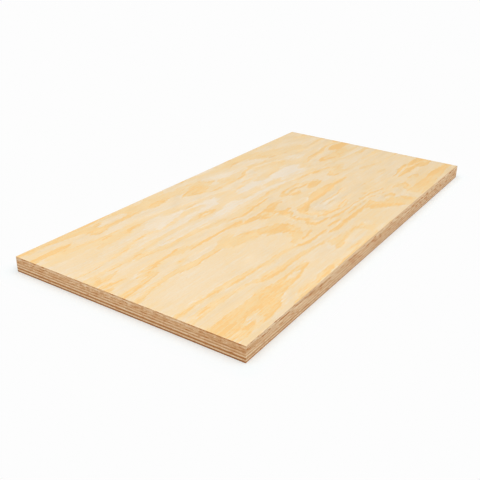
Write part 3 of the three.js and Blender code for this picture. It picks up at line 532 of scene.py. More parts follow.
# Soft changes of its tone: x, y, reach, spread, change and, where it has one, slant.
WASHES = (
    (-32, -60, 38, 32, 0.19), (25, -110, 45, 25, 0.09), (195, -104, 48, 26, 0.14), (270, 48, 34, 22, 0.19),
    (40, 116, 46, 18, -0.16), (-75, 90, 90, 26, -0.06), (-100, 10, 28, 14, 0.11), (-15, -8, 30, 28, 0.08),
    (185, -18, 32, 18, 0.11), (205, 100, 44, 18, 0.09), (275, -5, 40, 25, 0.08), (-240, -6, 30, 18, 0.09),
    (-290, 84, 22, 26, -0.09), (-205, -112, 25, 14, -0.08), (230, -118, 36, 18, 0.07),
    (85, 30, 30, 12, -0.06), (-80, -94, 26, 12, 0.07), (-130, 66, 60, 16, -0.05),
    (-165, 122, 26, 10, -0.08), (112, 76, 22, 12, -0.08), (262, -147, 36, 9, 0.1), (-290, 144, 16, 3, 0.4),
    (-258, 145, 16, 2.5, 0.18), (-246, 150.5, 6, 2, 0.25), (-244, 141, 4, 2.5, 0.25),
    (-180, 145.5, 24, 2.5, 0.15), (-165, 145.5, 5, 3, 0.2), (-260, 142, 9, 2, -0.15),
    (-192, 142, 8, 2, -0.25), (-290, 132.5, 20, 2.5, 0.2), (-300, 116, 14, 7, -0.2),
    (-304, 104, 4, 4, -0.25), (-260, 121, 8, 3, 0.35), (-252, 126.5, 7, 2.2, 0.25),
    (-240, 113, 26, 2.5, 0.1), (-225, 127, 12, 3, -0.12), (-190, 108, 9, 2.2, -0.25),
    (-239, 94, 5, 2.2, -0.25), (-180, 95, 16, 2.2, 0.28, 0.18), (-250, 84, 12, 3.5, 0.22),
    (-264, 80.5, 10, 2, 0.15), (-222, 87, 14, 3, 0.12), (-262, 72, 24, 4, -0.2), (-303, 70, 5, 3, -0.2),
    (-205, 79, 12, 4, -0.1), (-165, 72, 12, 4, -0.15), (-191, 71.5, 10, 1.8, 0.2), (-278, 62, 10, 2, 0.15),
    (-300, 55, 8, 3, -0.22), (-270, 52, 18, 2, 0.1), (-299, 42, 8, 5, -0.4), (-304, 32, 5, 4, -0.3),
    (-290, 34, 6, 4, 0.2), (-276, 33, 5, 2, 0.2), (-232, 42, 6, 4, -0.2),
    (-200, 46.5, 24, 2.5, 0.14, 0.08), (-190, 38, 12, 3.5, -0.16), (-208, 34.5, 7, 2.5, 0.15),
    (-172, 29.5, 10, 2, 0.2), (-290, 18.5, 12, 3, 0.2), (-305, 12, 5, 4, 0.35), (-258, 14, 10, 4, -0.45),
    (-244, 16, 7, 3, -0.35), (-232, 11.5, 9, 3, 0.35), (-244, 8, 12, 2, 0.15), (-193, 21, 9, 2, -0.15),
    (-208, 14.5, 8, 3, 0.12), (-210, 4, 8, 4, -0.12), (-162, 12, 12, 4, 0.12), (-170, 5, 12, 2.5, 0.12),
    (210, 151.5, 60, 1.5, 0.15), (284, 143, 13, 5, -0.2), (250, 134, 8, 4, -0.15),
    (187, 131, 10, 5, -0.18), (195, 141, 22, 5, -0.1), (154, 125, 6, 6, 0.25), (206, 121, 14, 5, 0.15),
    (278, 130, 9, 3.5, 0.22), (248, 115, 18, 6, -0.18), (256, 105.5, 13, 3.5, -0.22),
    (206, 105.5, 16, 3, -0.14), (164, 96, 14, 5, 0.2), (234, 93.5, 16, 3, 0.2), (208, 98, 14, 2, 0.12),
    (224, 86.5, 16, 2.2, -0.12), (278, 86.5, 14, 2.2, 0.22), (292, 82, 10, 3, -0.22),
    (190, 85, 6, 4, -0.15), (190, 74, 22, 7, -0.18), (176, 73, 8, 4, -0.1), (270, 72, 11, 5, -0.2),
    (255, 65, 13, 3, -0.32), (176, 52, 9, 3.5, 0.22, 0.3), (190, 55, 10, 2.5, -0.25, 0.4),
    (218, 53.5, 9, 2.5, 0.2), (262, 61.5, 10, 1.8, 0.15), (270, 56, 10, 2.5, -0.28), (268, 40, 14, 5, 0.3),
    (292, 45, 14, 5, 0.15), (165, 38, 7, 3.5, 0.22), (191, 36.5, 5, 3, -0.35), (182, 31, 8, 4, -0.12),
    (212, 27, 20, 3, 0.35, -0.28), (230, 34, 16, 4, -0.14), (285, 30, 12, 4.5, -0.28),
    (157, 18, 10, 6, -0.28), (250, 25, 16, 3, 0.1), (262, 18.5, 9, 2, -0.15), (240, 13, 22, 3, -0.12),
    (180, 4, 20, 5, 0.3), (286, 8, 14, 2.5, -0.3), (275, 2, 26, 2.5, 0.12), (220, 3, 9, 4, -0.12),
    (-128, -5, 18, 3, 0.22), (-76, -6, 5, 3, 0.22), (-55, -15.5, 6, 4, 0.4), (-42, -8, 14, 3, 0.22, 0.15),
    (-40, -16, 10, 3, -0.42), (-20, -13, 5, 5, 0.2), (-36, -20.5, 8, 1.8, 0.22), (-104, -24, 12, 3, 0.2),
    (-101, -17, 4, 2, 0.22), (-87, -23, 10, 3, -0.15), (-78, -32, 7, 4, -0.18),
    (-106, -35.5, 12, 2.8, 0.42), (-92, -44, 6, 3, -0.35), (-49, -46, 4.5, 5, 0.38),
    (-34, -47, 5, 4, -0.32), (-79, -52, 5, 3.5, -0.25), (-56, -55, 5, 4, -0.2), (-75, -60.5, 5, 2, 0.25),
    (-80, -66.5, 5, 2.2, 0.3), (-19, -62, 4, 5, 0.25), (-6, -60, 6, 3, 0.2), (-29, -73, 4.5, 6, -0.22),
    (-59, -76, 5, 3, 0.22), (-100, -70, 30, 4, -0.1), (-126, -80, 8, 1.8, 0.25), (-148, -87, 8, 2.5, 0.18),
    (-93, -94, 11, 2.5, 0.35), (-115, -88.5, 18, 2.2, 0.18), (-71, -84, 6, 2.5, 0.2),
    (-58, -84.5, 6, 2.5, 0.18), (-43, -96.5, 9, 2.2, 0.32), (-40, -92.5, 10, 1.6, -0.2),
    (-17, -101, 18, 2, -0.25), (-136, -114, 12, 2.5, 0.3), (-144, -105.5, 6, 2.5, -0.25),
    (-62, -108.5, 10, 3, 0.28), (-42, -115.5, 12, 2.5, 0.35), (-22, -108, 20, 4, 0.15),
    (-73, -118.5, 6, 3, -0.28), (-98, -114, 20, 5, -0.1), (-33, -122.5, 10, 1.8, -0.2),
    (-140, -123, 14, 2.2, 0.22), (-112, -129.5, 22, 2.5, -0.18), (-45, -133, 14, 3, -0.1),
    (-8, -125, 9, 3, 0.18), (-147, -143, 6, 4, -0.32), (-108, -145, 8, 3, 0.3), (-62, -145, 12, 2.5, 0.38),
    (-34, -143, 7, 2.5, -0.25), (-10, -142, 12, 3.5, 0.22), (46, -7.5, 8, 2, 0.35),
    (103, -12.5, 9, 2.5, 0.3), (110, -1, 8, 2, -0.28), (149, -10, 5, 3, 0.28), (47, -21.5, 6, 2.2, 0.35),
    (42.5, -26.5, 5, 2.5, -0.42), (8, -44, 8, 2.2, 0.25), (78, -38, 20, 1.5, 0.25),
    (38, -49, 10, 3.5, -0.28), (70, -56, 15, 5, -0.18), (5, -65, 3.5, 4, -0.25), (15, -66, 3.5, 3.5, 0.3),
    (146, -65, 9, 2.5, 0.2), (20, -73.5, 14, 1.8, 0.35), (45, -71.5, 12, 1.8, 0.22),
    (109, -79, 8, 2, 0.28), (110, -88.5, 9, 2, 0.22), (66, -87.8, 28, 1.8, -0.32),
    (20, -105.8, 8, 1.8, 0.45), (45, -104.5, 20, 1.6, 0.25), (84, -112.5, 7, 3, 0.28),
    (118.5, -115.5, 4.5, 3, 0.4), (124, -127.5, 5, 2.5, -0.42), (130, -133, 4, 5, -0.42),
    (122.5, -136, 3.5, 4, 0.32), (131, -147, 5, 4, 0.4), (104, -146.5, 8, 3, -0.42),
    (89, -137, 5, 3.5, 0.3), (13, -128, 10, 6, -0.22), (8, -147, 12, 3, -0.28), (35, -151.5, 5, 1.5, 0.3),
    (143, -100, 14, 3.5, 0.25), (-112, 147, 12, 3, -0.25), (-104, 142, 6, 4, -0.22),
    (-14, 151, 7, 2.5, 0.5), (-150, 133.5, 6, 2.2, 0.28), (-90, 125, 11, 2.5, 0.22),
    (-76, 127, 9, 4, 0.25), (-122, 125.5, 9, 2.5, -0.28), (-52, 124.5, 10, 2.2, 0.3),
    (-34, 127, 12, 2, 0.28, 0.15), (-31, 134.5, 6, 4, -0.25), (-52, 110, 6, 3, -0.28),
    (-24, 114.5, 15, 3, 0.22), (-42, 107, 5, 4, 0.22), (-31, 101.5, 8, 2.2, 0.35, -0.2),
    (-3, 119.5, 6, 5, -0.38), (-5, 95.5, 7, 5, 0.25), (-103, 91.5, 11, 3, 0.35, -0.2),
    (-118, 96, 10, 2.2, 0.22, -0.2), (-65, 92.5, 8, 2.5, -0.22), (-96, 84, 12, 2.2, -0.42),
    (-116, 79.5, 12, 2.2, -0.25, 0.15), (-146, 73.5, 12, 3, -0.42), (-103, 75, 12, 3.5, 0.25),
    (-131, 68, 5, 5, 0.2), (-38, 72, 4.5, 5, -0.22), (-82, 62, 16, 2, 0.2), (-1, 60.5, 3, 5, 0.28),
    (-40, 43.5, 20, 3, -0.3), (-75, 43, 14, 2.5, -0.22), (-12, 46, 8, 3.5, 0.32),
    (-75, 35.8, 18, 2.4, -0.5), (-100, 36.5, 10, 2, -0.25), (-45, 37, 12, 2, -0.25), (-34, 22, 7, 3, 0.3),
    (-3, 22, 8, 2.5, 0.28), (-38, 11.5, 9, 2, 0.35), (-18, 15.5, 14, 2, 0.3, 0.1),
    (-69, 13.5, 6, 2, -0.38), (-92, 10.3, 10, 2, 0.4), (-76.5, 5, 4, 3.5, 0.42),
    (-105, 3.5, 11, 2.2, -0.25), (100, 152, 26, 1.3, 0.35), (48, 137.5, 9, 3, 0.25),
    (76, 134, 14, 2.5, 0.2), (9, 127, 10, 4, 0.28), (100, 129.5, 20, 3, -0.2), (6, 110, 10, 5, -0.2),
    (32, 110, 13, 4, -0.35), (32, 102, 12, 3.5, 0.38), (8, 94.5, 9, 2, -0.22), (146, 116, 6, 3, -0.25),
    (136, 104, 9, 5, 0.22), (69, 95.5, 5, 3, 0.32), (92, 97.5, 11, 3, 0.2), (95, 84, 24, 8, -0.14),
    (54, 77.5, 7, 2.2, 0.28), (142, 78.5, 8, 2.5, 0.25), (5, 66, 8, 4, 0.22), (54, 57, 10, 5, 0.2),
    (97, 64.3, 22, 2, 0.2), (41, 47, 6, 5, -0.28), (146, 48, 8, 3, -0.42, 0.3), (4, 43, 7, 3, 0.32),
    (14, 36, 15, 3, -0.2), (96, 36, 18, 2.5, 0.2), (70, 30.3, 10, 2, -0.22), (100, 28, 18, 2.2, -0.3),
    (117, 25.5, 7, 3, -0.32), (45, 25, 20, 2.5, 0.28), (72, 23, 9, 2.5, 0.2), (107, 19.8, 12, 2, 0.4),
    (38, 9.8, 5, 1.8, 0.5), (35, 5.5, 10, 2, -0.22), (75, 9.5, 6, 2.2, -0.42), (78, 2.8, 10, 2.2, 0.4),
    (110, 1, 7, 2, -0.38), (-298, -8, 10, 2.2, 0.38), (-275, -5.5, 12, 2, 0.42, 0.1),
    (-295, -15.5, 14, 3, -0.35), (-274, -12.5, 12, 2.2, -0.35), (-272, -19, 12, 2, 0.22),
    (-300, -24.5, 10, 2, 0.3), (-208, -3, 8, 2, 0.38), (-191, -21.5, 8, 2, 0.4), (-290, -69, 16, 2, -0.22),
    (-268, -69, 14, 2, -0.35), (-242, -69.5, 12, 2, -0.25), (-290, -73.5, 18, 1.8, 0.32),
    (-248, -76.3, 7, 1.8, 0.32), (-229, -78, 10, 2.2, -0.32), (-218, -74.5, 12, 2.5, -0.2),
    (-297, -83.5, 12, 3, -0.32), (-240, -87.5, 6, 4, 0.22), (-164, -82, 14, 3, 0.2),
    (-181, -95, 6, 2.2, 0.38), (-200, -95, 5, 2.5, -0.28), (-284, -108, 9, 1.8, 0.35),
    (-212, -108, 11, 1.8, 0.32), (-194, -113, 10, 2.5, -0.22), (-168, -114, 7, 2.5, 0.22),
    (-214, -121.5, 5, 4, -0.28), (-258, -126.5, 13, 2.5, 0.5), (-247, -128.5, 5, 3, 0.3),
    (-273, -129.5, 4, 2.5, -0.32), (-303, -131, 7, 2, -0.3), (-192, -131.8, 12, 2.5, 0.38),
    (-165, -127, 12, 2, 0.2), (-300, -139, 8, 2, 0.42), (-279, -139, 9, 2.2, 0.5),
    (-220, -139, 5, 3, 0.42), (-235, -144, 12, 2.5, 0.22), (-263, -142.5, 4, 2.2, -0.32),
    (-162, -146.5, 10, 2.5, -0.32), (158, -3, 9, 3, -0.28), (194, -4, 7, 2.5, -0.32),
    (188, -17, 18, 2.5, 0.24), (166, -32, 16, 3, 0.24), (166, -67, 10, 2.2, 0.28),
    (214, -65.5, 8, 3.5, 0.2), (165, -74.5, 14, 2.5, -0.22), (186, -74, 14, 2.5, -0.25),
    (246, -80, 6, 2, -0.28), (227, -87.3, 8, 1.6, 0.28), (260, -84, 5, 2.5, 0.42),
    (249, -91, 7, 2.5, 0.22), (210, -93, 12, 2, -0.28), (232, -91.5, 12, 1.8, -0.25),
    (273, -95.3, 9, 2.2, 0.3), (291, -86, 7, 3.5, -0.22), (263.5, -104, 4.5, 2.8, -0.38),
    (296, -101, 4, 3.5, -0.42), (221, -109, 7, 2.2, -0.28), (218, -116, 5, 4, 0.28),
    (164, -138.5, 10, 2.5, -0.22), (296, -132, 6, 3.5, -0.3), (295, -143, 6, 2.2, -0.28),
    (213, -147, 10, 2.5, 0.3),
)
# Soft changes of its brightness, in the same form.
SHADES = (
    (-275, 139.5, 32, 3, -4), (-280, 126, 20, 7, 2.4), (-278, 117, 14, 4, 2.2), (-252, 113, 16, 4, 1.6),
    (-300, 97, 10, 4, -3), (-275, 80, 34, 8, -2), (-214, 82, 11, 4.5, -3), (-190, 86.5, 20, 3, -2.6),
    (-148, 95, 14, 3.5, -3.6, 0.2), (-215, 105, 24, 7, 2.2), (-181, 101, 12, 4, 2.4, 0.5),
    (-155, 110.5, 18, 4.5, 3.2), (-126, 106.5, 16, 3, 4, -0.15), (-227, 137, 11, 3, 3.8),
    (-200, 127.5, 15, 4, 4.6), (-226, 127.5, 12, 5.5, -4.2), (-211, 120.5, 7, 3, -3.8),
    (-190, 120, 14, 2.5, -3.2), (-195, 138.5, 8, 2, -4.4), (-172, 146, 13, 2.2, -5),
    (-172, 134, 5, 7, -3.8), (-137, 119.5, 20, 3.6, -4.2), (-114, 113, 16, 4, -3.2),
    (-131, 139.5, 10, 3, -3.4), (-103, 129, 13, 10, 3), (-294, 65, 12, 3, 3), (-260, 65.5, 20, 2.6, 2.6),
    (-234, 63.5, 12, 3, 3.2), (-210, 69, 12, 3.5, 2.8, 0.25), (-183, 73, 22, 3.5, 3.6),
    (-152, 68.5, 13, 2.8, 3.6), (-129, 71.5, 12, 3, 3, 0.15), (-108, 75.5, 16, 3.5, 3.6, 0.12),
    (-265, 57, 40, 3, -2.2), (-198, 65.5, 10, 2.5, -2.6, 0.2), (-155, 62, 18, 3.5, -2.6),
    (-112, 66, 18, 4, -3, -0.1), (-278, 49, 26, 3, 2.8), (-191, 56.5, 14, 4, 2),
    (-186, 44, 11, 5, -5, 0.3), (-160, 50, 9, 2.4, -3.8), (-128, 44.5, 26, 3.8, -3.6),
    (-216, 40.5, 14, 2.6, 4), (-178, 35.5, 16, 3, 2.2), (-142, 33, 14, 3, 4), (-118, 33, 9, 2.6, 4.2),
    (-232, 30, 15, 3.2, -3.2, -0.15), (-181, 28, 14, 3, -3.8, -0.1), (-155, 23, 14, 3, -2.8, -0.15),
    (-137, 19, 12, 2.4, -3.6), (-130, 26, 16, 2, 2.6, -0.1), (-290, 24, 14, 5, 2),
    (-228, 16, 30, 6, 2.4, 0.08), (-155, 8, 12, 6, 2.8), (-122, 10, 14, 4, 2.2), (-284, 9, 20, 4, -4, 0.3),
    (-228, 5, 14, 4.5, -3.4, 0.2), (-262, 4, 14, 3.5, 2.4), (-285, 35, 20, 4, 1.4),
    (-46, 148, 12, 4, -4.6), (-22, 150, 12, 4, -4.6), (20, 134, 18, 8, -2.6), (62, 149, 7, 4, -4),
    (-60, 122, 10, 4, -5, 0.4), (-84, 106, 14, 5.5, -5, 0.2), (-70, 116, 6, 5, -3.6), (-46, 96, 11, 3, -4),
    (-30, 93, 14, 2.6, -2.4), (-40, 108, 5, 5, -2.6), (-84, 95.5, 10, 3, 4.6, -0.1),
    (-64, 91, 13, 4, 3.6, -0.1), (-38, 89.5, 14, 2.6, 2.2), (-14, 84, 9, 3.5, 4, -0.4),
    (-82, 86.5, 7, 2, -3.4), (-82, 82, 9, 2.2, 3.4, 0.15), (-24, 118, 8, 16, 2.2),
    (-29, 101, 11, 4, 2.6, 0.3), (33, 112, 6, 4.5, 3.6), (10, 92.5, 8, 5, 2.2), (28, 98, 12, 6, 2.2, 0.5),
    (23, 83, 15, 3.2, -4, 0.28), (24, 74.5, 8, 3.8, 5), (54, 89, 9, 3, 4.2, 0.4),
    (78, 99.5, 14, 2.6, 3.8, 0.4), (82, 94, 8, 6, -4.4), (62, 80, 8, 3, 3.8), (44, 78.5, 12, 2, 2.2),
    (30, 64, 34, 6, -2.8), (58, 61.5, 10, 3, -3, -0.05), (0, 73, 9, 6, 2.8), (-18, 60, 20, 8, 2.4, 0.2),
    (-45, 53.5, 16, 3, 2), (14, 47.5, 11, 4.5, 3.6), (40, 47.5, 20, 4.5, 2.2), (-30, 43.5, 26, 4.5, -2.2),
    (20, 40, 34, 2.8, -2.2), (-90, 42, 20, 4, -2.8), (-88, 54, 7, 2.4, 3.6), (-54, 70, 18, 7, -1.8),
    (-58, 31, 22, 5, 2.6), (-92, 25.5, 14, 2.6, -3, -0.2), (-28, 33, 12, 2.6, 1.8),
    (-20, 20, 16, 3.2, 3.4), (-10, 20, 6, 3, 1.8), (10, 24.5, 12, 2.6, 2.6), (6, 14, 12, 4.6, -5.6, 0.35),
    (-90, 15, 16, 4, -2.2), (-28, 15.5, 10, 2.4, -3.2), (-58, 16, 16, 4, 2), (-54, 5, 9, 4, -5),
    (-72, 5.5, 12, 3.5, -2.4), (-33, 5, 9, 3, -3.4), (-85, 2, 10, 4, 2.2), (-15, 5.5, 6, 4, 2.4),
    (52, 8, 15, 3.2, -5.2, -0.1), (76, 9.2, 11, 3.2, 5), (52, 1.5, 12, 2.5, 3), (92, 2.5, 8, 4, 3.4),
    (78, 24, 6, 3, -4.2, 0.3), (93, 27, 12, 3.4, 3, 0.3), (78, 43, 9, 6, 2.2),
    (65, 127.5, 7, 3.4, -3.8, 0.25), (100, 127, 18, 4, -3), (79, 146.5, 7, 3, 2.6), (50, 117, 8, 9, 1.8),
    (95, 111, 8, 9, 2.2), (101, 135.5, 7, 2.6, -3.4), (115, 140.5, 13, 3, 2.6), (152, 141, 6, 3, -3.2),
    (164, 137.5, 10, 6, 2.8), (161, 107.5, 8, 3, -4.6), (182, 110.5, 15, 4, 3), (193, 128, 8, 4, 2.4),
    (210, 124, 9, 4, 2), (206, 138, 10, 4, -3), (211, 140.5, 4, 2, -3), (211, 110, 6, 2.6, -2.6),
    (252, 127, 12, 4.5, -3), (270, 120, 13, 3.4, -4.4, -0.15), (274, 138, 14, 8, -2.6, -0.2),
    (285, 125, 14, 3.5, 4), (173, 100, 14, 2.8, 3), (194, 101, 9, 2, -3), (145, 97, 9, 3.5, -3, -0.2),
    (104, 101, 12, 4, 4.6), (126, 96, 18, 4, 3.2, -0.3), (151, 88, 9, 4, 3.6, -0.3),
    (112, 77, 22, 12, 2.2), (106, 67, 12, 4, 1.2), (122, 50, 32, 11, -3.2, 0.15), (145, 65, 8, 4, -3),
    (152, 49, 7, 9, 2.2, 0.9), (176, 65, 14, 4.5, 2.6), (162, 35.8, 10, 2.2, -4.2),
    (188, 43, 8, 4.5, -4.4, 0.3), (198, 51.5, 20, 2.8, 3.6, 0.06), (228, 53.5, 13, 3, 5.4, 0.1),
    (245, 58, 10, 2, 3, 0.2), (226, 60.5, 10, 2.4, -2.6), (208, 38, 11, 7, 2.4), (233, 43, 14, 4.5, -2.6),
    (262, 52.5, 7, 3, -4.6, 0.3), (216, 87.5, 8, 3.5, 4), (229, 85, 10, 4, 4.4, -0.3),
    (252, 82.5, 16, 2.8, 3.8), (276, 84, 14, 2.6, 3, 0.08), (295, 87, 12, 2.8, 2.6),
    (256, 76.5, 26, 3.2, -2.6), (298, 76, 8, 6, -3.6), (200, 83, 7, 3.6, -3.4), (207, 78, 11, 4.5, -2.8),
    (252, 90, 16, 2.6, -4, 0.08), (236, 66, 16, 3.4, 2.8), (290, 66, 17, 3.6, 4.8),
    (264, 60.5, 15, 2.2, 2.4), (285, 97, 10, 4.5, 2.8, 0.3), (250, 101, 7, 5, 2.4),
    (128, 26, 16, 3, 3, -0.05), (131, 19, 9, 3.4, 4.8, 0.2), (106, 18.5, 7, 2.4, 3, 0.2),
    (157, 27.5, 13, 3.2, 2.6), (102, 27, 9, 3, 2.4), (161, 19.3, 8, 2.4, -4), (195, 13.2, 9, 2.6, -4.4),
    (228, 15, 18, 2.2, -2.2), (221, 19, 12, 2, 2.6), (233, 28, 11, 7, 2.2, 0.6),
    (266, 21.5, 18, 2.2, -3.4), (275, 15.5, 9, 2.4, 2.6), (168, 6, 8, 7, 2.8), (174, 31, 9, 4, -2.4),
    (-287, -3, 16, 4, 2.8), (-276, -10, 34, 2.8, -2.6, 0.06), (-205, -8.8, 28, 2.6, -3.2),
    (-166, -9, 11, 2.4, -4.2, 0.15), (-178, -5, 13, 2, 3.4, -0.15), (-270, -15, 44, 3.8, 2.8, 0.05),
    (-208, -17, 13, 5, 4.6), (-187, -18, 10, 3.5, 2.4), (-225, -36.5, 10, 3.5, -2.2),
    (-292, -50, 11, 4.5, -2.2), (-188, -53, 8, 5.5, -2.2), (-162, -61, 13, 4.5, 3.8, 0.25),
    (-199, -66, 16, 4.5, -3.4, -0.1), (-133, -68, 12, 6.5, -2.8), (-275, -70.5, 34, 4.4, 3),
    (-225, -74, 14, 5, 3.8, -0.1), (-195, -78.5, 16, 2.8, 2.6, -0.1), (-165, -83.5, 13, 3.4, 2.2, -0.15),
    (-131, -82.5, 9, 3, 3.4, -0.1), (-108, -83, 14, 7, 2.4), (-278, -78.3, 32, 2.6, -3.8),
    (-238, -80.5, 13, 2.6, -3.4, -0.2), (-204, -84.5, 26, 3.4, -4), (-146, -92.5, 34, 4, -4, -0.03),
    (-86, -99.5, 24, 3.4, -4.8, -0.05), (-275, -86.5, 38, 4.6, 3.2), (-222, -90.5, 18, 3, 2.2, -0.1),
    (-178, -98.5, 20, 4.8, 3.6), (-160, -100.5, 14, 4, 2.2), (-118, -103, 20, 3.5, 1.8),
    (-293, -99, 14, 5, -2), (-252, -97, 26, 4.4, -4.2, -0.05), (-203, -104, 15, 4.4, -4.4, -0.25),
    (-160, -109, 26, 3.2, -4.2, 0.05), (-255, -112, 44, 6, 2), (-225, -129, 24, 10, 3),
    (-188, -119, 16, 5, 2.6), (-172, -127, 16, 4, 2.4), (-132, -119.5, 14, 6, 3.4),
    (-230, -116, 8, 4, -2.8), (-152, -120, 12, 3, -2.6), (-264, -132, 12, 5, -2.2),
    (-288, -136, 16, 5.5, 2.6), (-265, -148.5, 44, 3, -5), (-206, -142, 14, 4.5, -4.6, 0.3),
    (-195, -139, 9, 3, -2, 0.1), (-160, -134, 30, 3.4, -2.2), (-150, -147, 56, 5, 4),
    (-60, -146, 60, 4.5, 3.4), (-148, -25, 4, 9, 3), (-137, -33.5, 10, 3, 3.4), (-140, -17, 10, 3, 2),
    (-140, -28, 5, 3, -2.2), (-119, -8, 7, 5, 2.2, 0.3), (-107, -17, 7, 3, -3), (-103, -29, 13, 4.5, 3.2),
    (-82, -2, 15, 3.5, 2.2), (-55, -7, 10, 3.4, -2.8), (-58, -26, 9, 4.5, -2.6),
    (-31, -24.5, 7, 2.8, -2.6), (-50, -17, 22, 3, 2), (-12, -14, 9, 5, -3.8, 0.2),
    (2, -13, 9, 4, -2.4, 0.6), (-12, -6, 8, 2, -3), (48, -2, 10, 4, 3), (60, -8, 9, 3.6, -2.8),
    (79, -7, 8, 5, 3, 0.4), (-24, -28, 11, 3.5, 3.4, 0.3), (-32, -40, 5, 9, 3.4), (-24, -57, 5, 9, 3.6),
    (-29, -74, 9, 4.5, 3.6), (-15, -37, 7, 4, -3.2, 0.5), (-16, -54, 5, 12, -3.8),
    (-16, -71, 5, 4, -4, -0.5), (-8, -76, 8, 3, -5.4, -0.3), (-8, -45, 6, 6, 4.4), (-3, -58, 8, 8, 5),
    (7, -66, 6, 4, 3.4, -0.5), (20, -71, 16, 3.4, 3.2), (47, -71.5, 9, 3.8, 4.4), (62, -72, 11, 3, 4),
    (80, -68.5, 14, 3.4, 4), (22, -76.5, 24, 3.2, 2.4), (10, -34, 14, 4.5, 3, 0.2), (30, -33, 14, 4, 2.6),
    (75, -25.5, 30, 4.5, 3.2), (62, -33, 26, 4.4, 6.4), (94, -33, 15, 3, 5, 0.1),
    (124, -28, 22, 4.2, 3, 0.15), (152, -7, 13, 5.5, 4, 0.5), (141, -25, 8, 5, 2),
    (8, -44.5, 9, 2.8, -5, 0.3), (25, -43.2, 10, 2.4, -6), (38, -46.5, 15, 4, -6),
    (62, -43.5, 20, 4.4, -5), (78, -45.5, 11, 2.2, -4), (99, -40.5, 13, 4.5, -5.6, 0.2),
    (19, -57, 13, 10, -2.8), (28, -53, 5, 4.5, -4), (9.5, -58.5, 4, 2.2, -6.5, 0.4),
    (44, -57, 18, 2.2, -6), (70, -56.3, 13, 1.7, -3.6), (51, -52.4, 13, 2, 3.4), (99, -49.5, 13, 4, 4.2),
    (40, -64, 11, 3, 3), (62, -61.5, 10, 3, -3.8), (84, -62, 18, 3.2, -5), (122, -65, 22, 9, -3.2),
    (131, -60, 8, 3, -2.4), (121, -74, 8, 3, -3.2), (10, -82.3, 16, 1.8, -3.2), (56, -81.5, 12, 1.6, -2.8),
    (12, -89.5, 24, 2.8, -3.4), (43, -92, 8, 2.6, -3.6), (70, -94.3, 11, 2.6, -6.2, 0.1),
    (88, -83, 12, 2.4, -3.4, 0.1), (85, -76, 9, 3, -3.4), (22, -85.8, 28, 1.5, 2.6),
    (90, -90, 10, 3.4, 3.8), (-50, -85.5, 13, 4, -2.6), (-50, -76, 14, 3, -2.4), (-38, -53, 5, 12, -3),
    (-66, -63, 17, 4, 2.8, 0.4), (-82, -88, 17, 7, 2.6), (-80, -74, 12, 5, 2.2), (-79, -52.5, 6, 6, -3.2),
    (-25.5, -96, 4, 5, -2.6), (-13, -95, 8, 6, 2.2), (-41, -109.5, 15, 4.2, -4.4, -0.25),
    (-14, -113, 14, 3.4, -2.4), (9, -110.5, 12, 4, -2.8), (-92, -119, 22, 9, -2.8),
    (-58, -130, 18, 3.6, 4.2, 0.15), (-48, -128, 8, 3.6, 1.6), (-62, -116, 12, 5, 2.4), (7, -125, 8, 5, 3),
    (-4, -138, 10, 10, 2.4), (-55, -138, 40, 3.4, -2), (19, -120, 5, 8, -2.4), (12, -139, 8, 8, 2.2),
    (80, -108, 7, 9, 3.8), (84, -121, 8, 6, 3.4), (94, -134, 9, 6, 4.2, -0.5), (103, -108, 14, 5.5, -3.4),
    (111, -107, 9, 2.2, -5), (144, -116.5, 11, 5.5, -4.2), (122, -125.5, 9, 3.4, -3.8),
    (127, -113, 8, 3.5, 2.6), (137, -139, 4, 9, -3.2), (124, -145.5, 12, 4.5, 3.2),
    (104, -125, 10, 6, 2.4), (102, -137, 7, 4, 2), (114, -86, 9, 8, 2), (147, -103, 22, 3.2, 3.4, -0.05),
    (128, -87, 9, 3.2, -2.4), (169, -92.8, 10, 3, -4.8), (160, -85.5, 20, 3.2, 2.2, -0.1),
    (204, -83.5, 12, 4, -4), (196, -89.5, 18, 2.4, 2.2), (227, -87, 12, 4.6, 4.4),
    (243, -86, 12, 4.4, 4.6), (261, -91.5, 14, 3.4, 4, -0.12), (281, -94, 11, 2.6, 3),
    (297, -102, 12, 5, 5), (226, -95.5, 11, 3, 2.4), (228, -80.5, 11, 2, -4.6, 0.1),
    (257, -81, 6, 1.8, -3), (236, -97.5, 8, 2.4, -3.6, 0.2), (269, -98, 8, 2.2, -3, 0.1),
    (281, -89.3, 8, 2, -3.4), (289, -78.5, 10, 3.4, 3.2, 0.3), (170, -119, 11, 7, 3.6, 0.5),
    (154, -132, 12, 5, 2.6), (195, -107, 10, 3.4, 2.6), (195, -115, 10, 2.8, -2.6),
    (220, -134.5, 42, 7, 3), (180, -143, 26, 6, 2.2), (236, -115, 14, 4.4, -3.2), (270, -113, 26, 4, -2.6),
    (244, -104, 13, 4, 2.4), (277, -147, 16, 4.5, -5.6), (285, -134, 16, 5, 2.4), (301, -121, 6, 7, -3.6),
    (279, -17.3, 24, 4.4, 4), (280, -9.5, 24, 3.6, -3.2), (280, -32, 22, 3, -3.4), (291, -32.8, 7, 2, -3),
    (246, -37.5, 11, 5, 2.8, 0.3), (279, -36.8, 11, 2.4, 2.6), (225, -20, 11, 3.2, 3.6),
    (193, -39, 10, 3.4, 2.4), (187, -29.5, 6, 2, -3.2), (205, -35.3, 5, 2, -3),
    (150, -39, 10, 3, -2.8, 0.2), (191, -51.5, 14, 7, -2.8), (245, -61, 12, 5.5, -2.6),
    (268, -53.5, 14, 4.2, -2.6, 0.2), (211, -63.5, 11, 3, -3), (193, -67, 10, 3.4, 2.4),
    (200, -74.5, 22, 3.4, -3.4), (146, -67.5, 9, 1.8, 2.8), (258, -49, 14, 2.8, 2.2),
    (221, -60, 8, 2.4, 2.2),
)


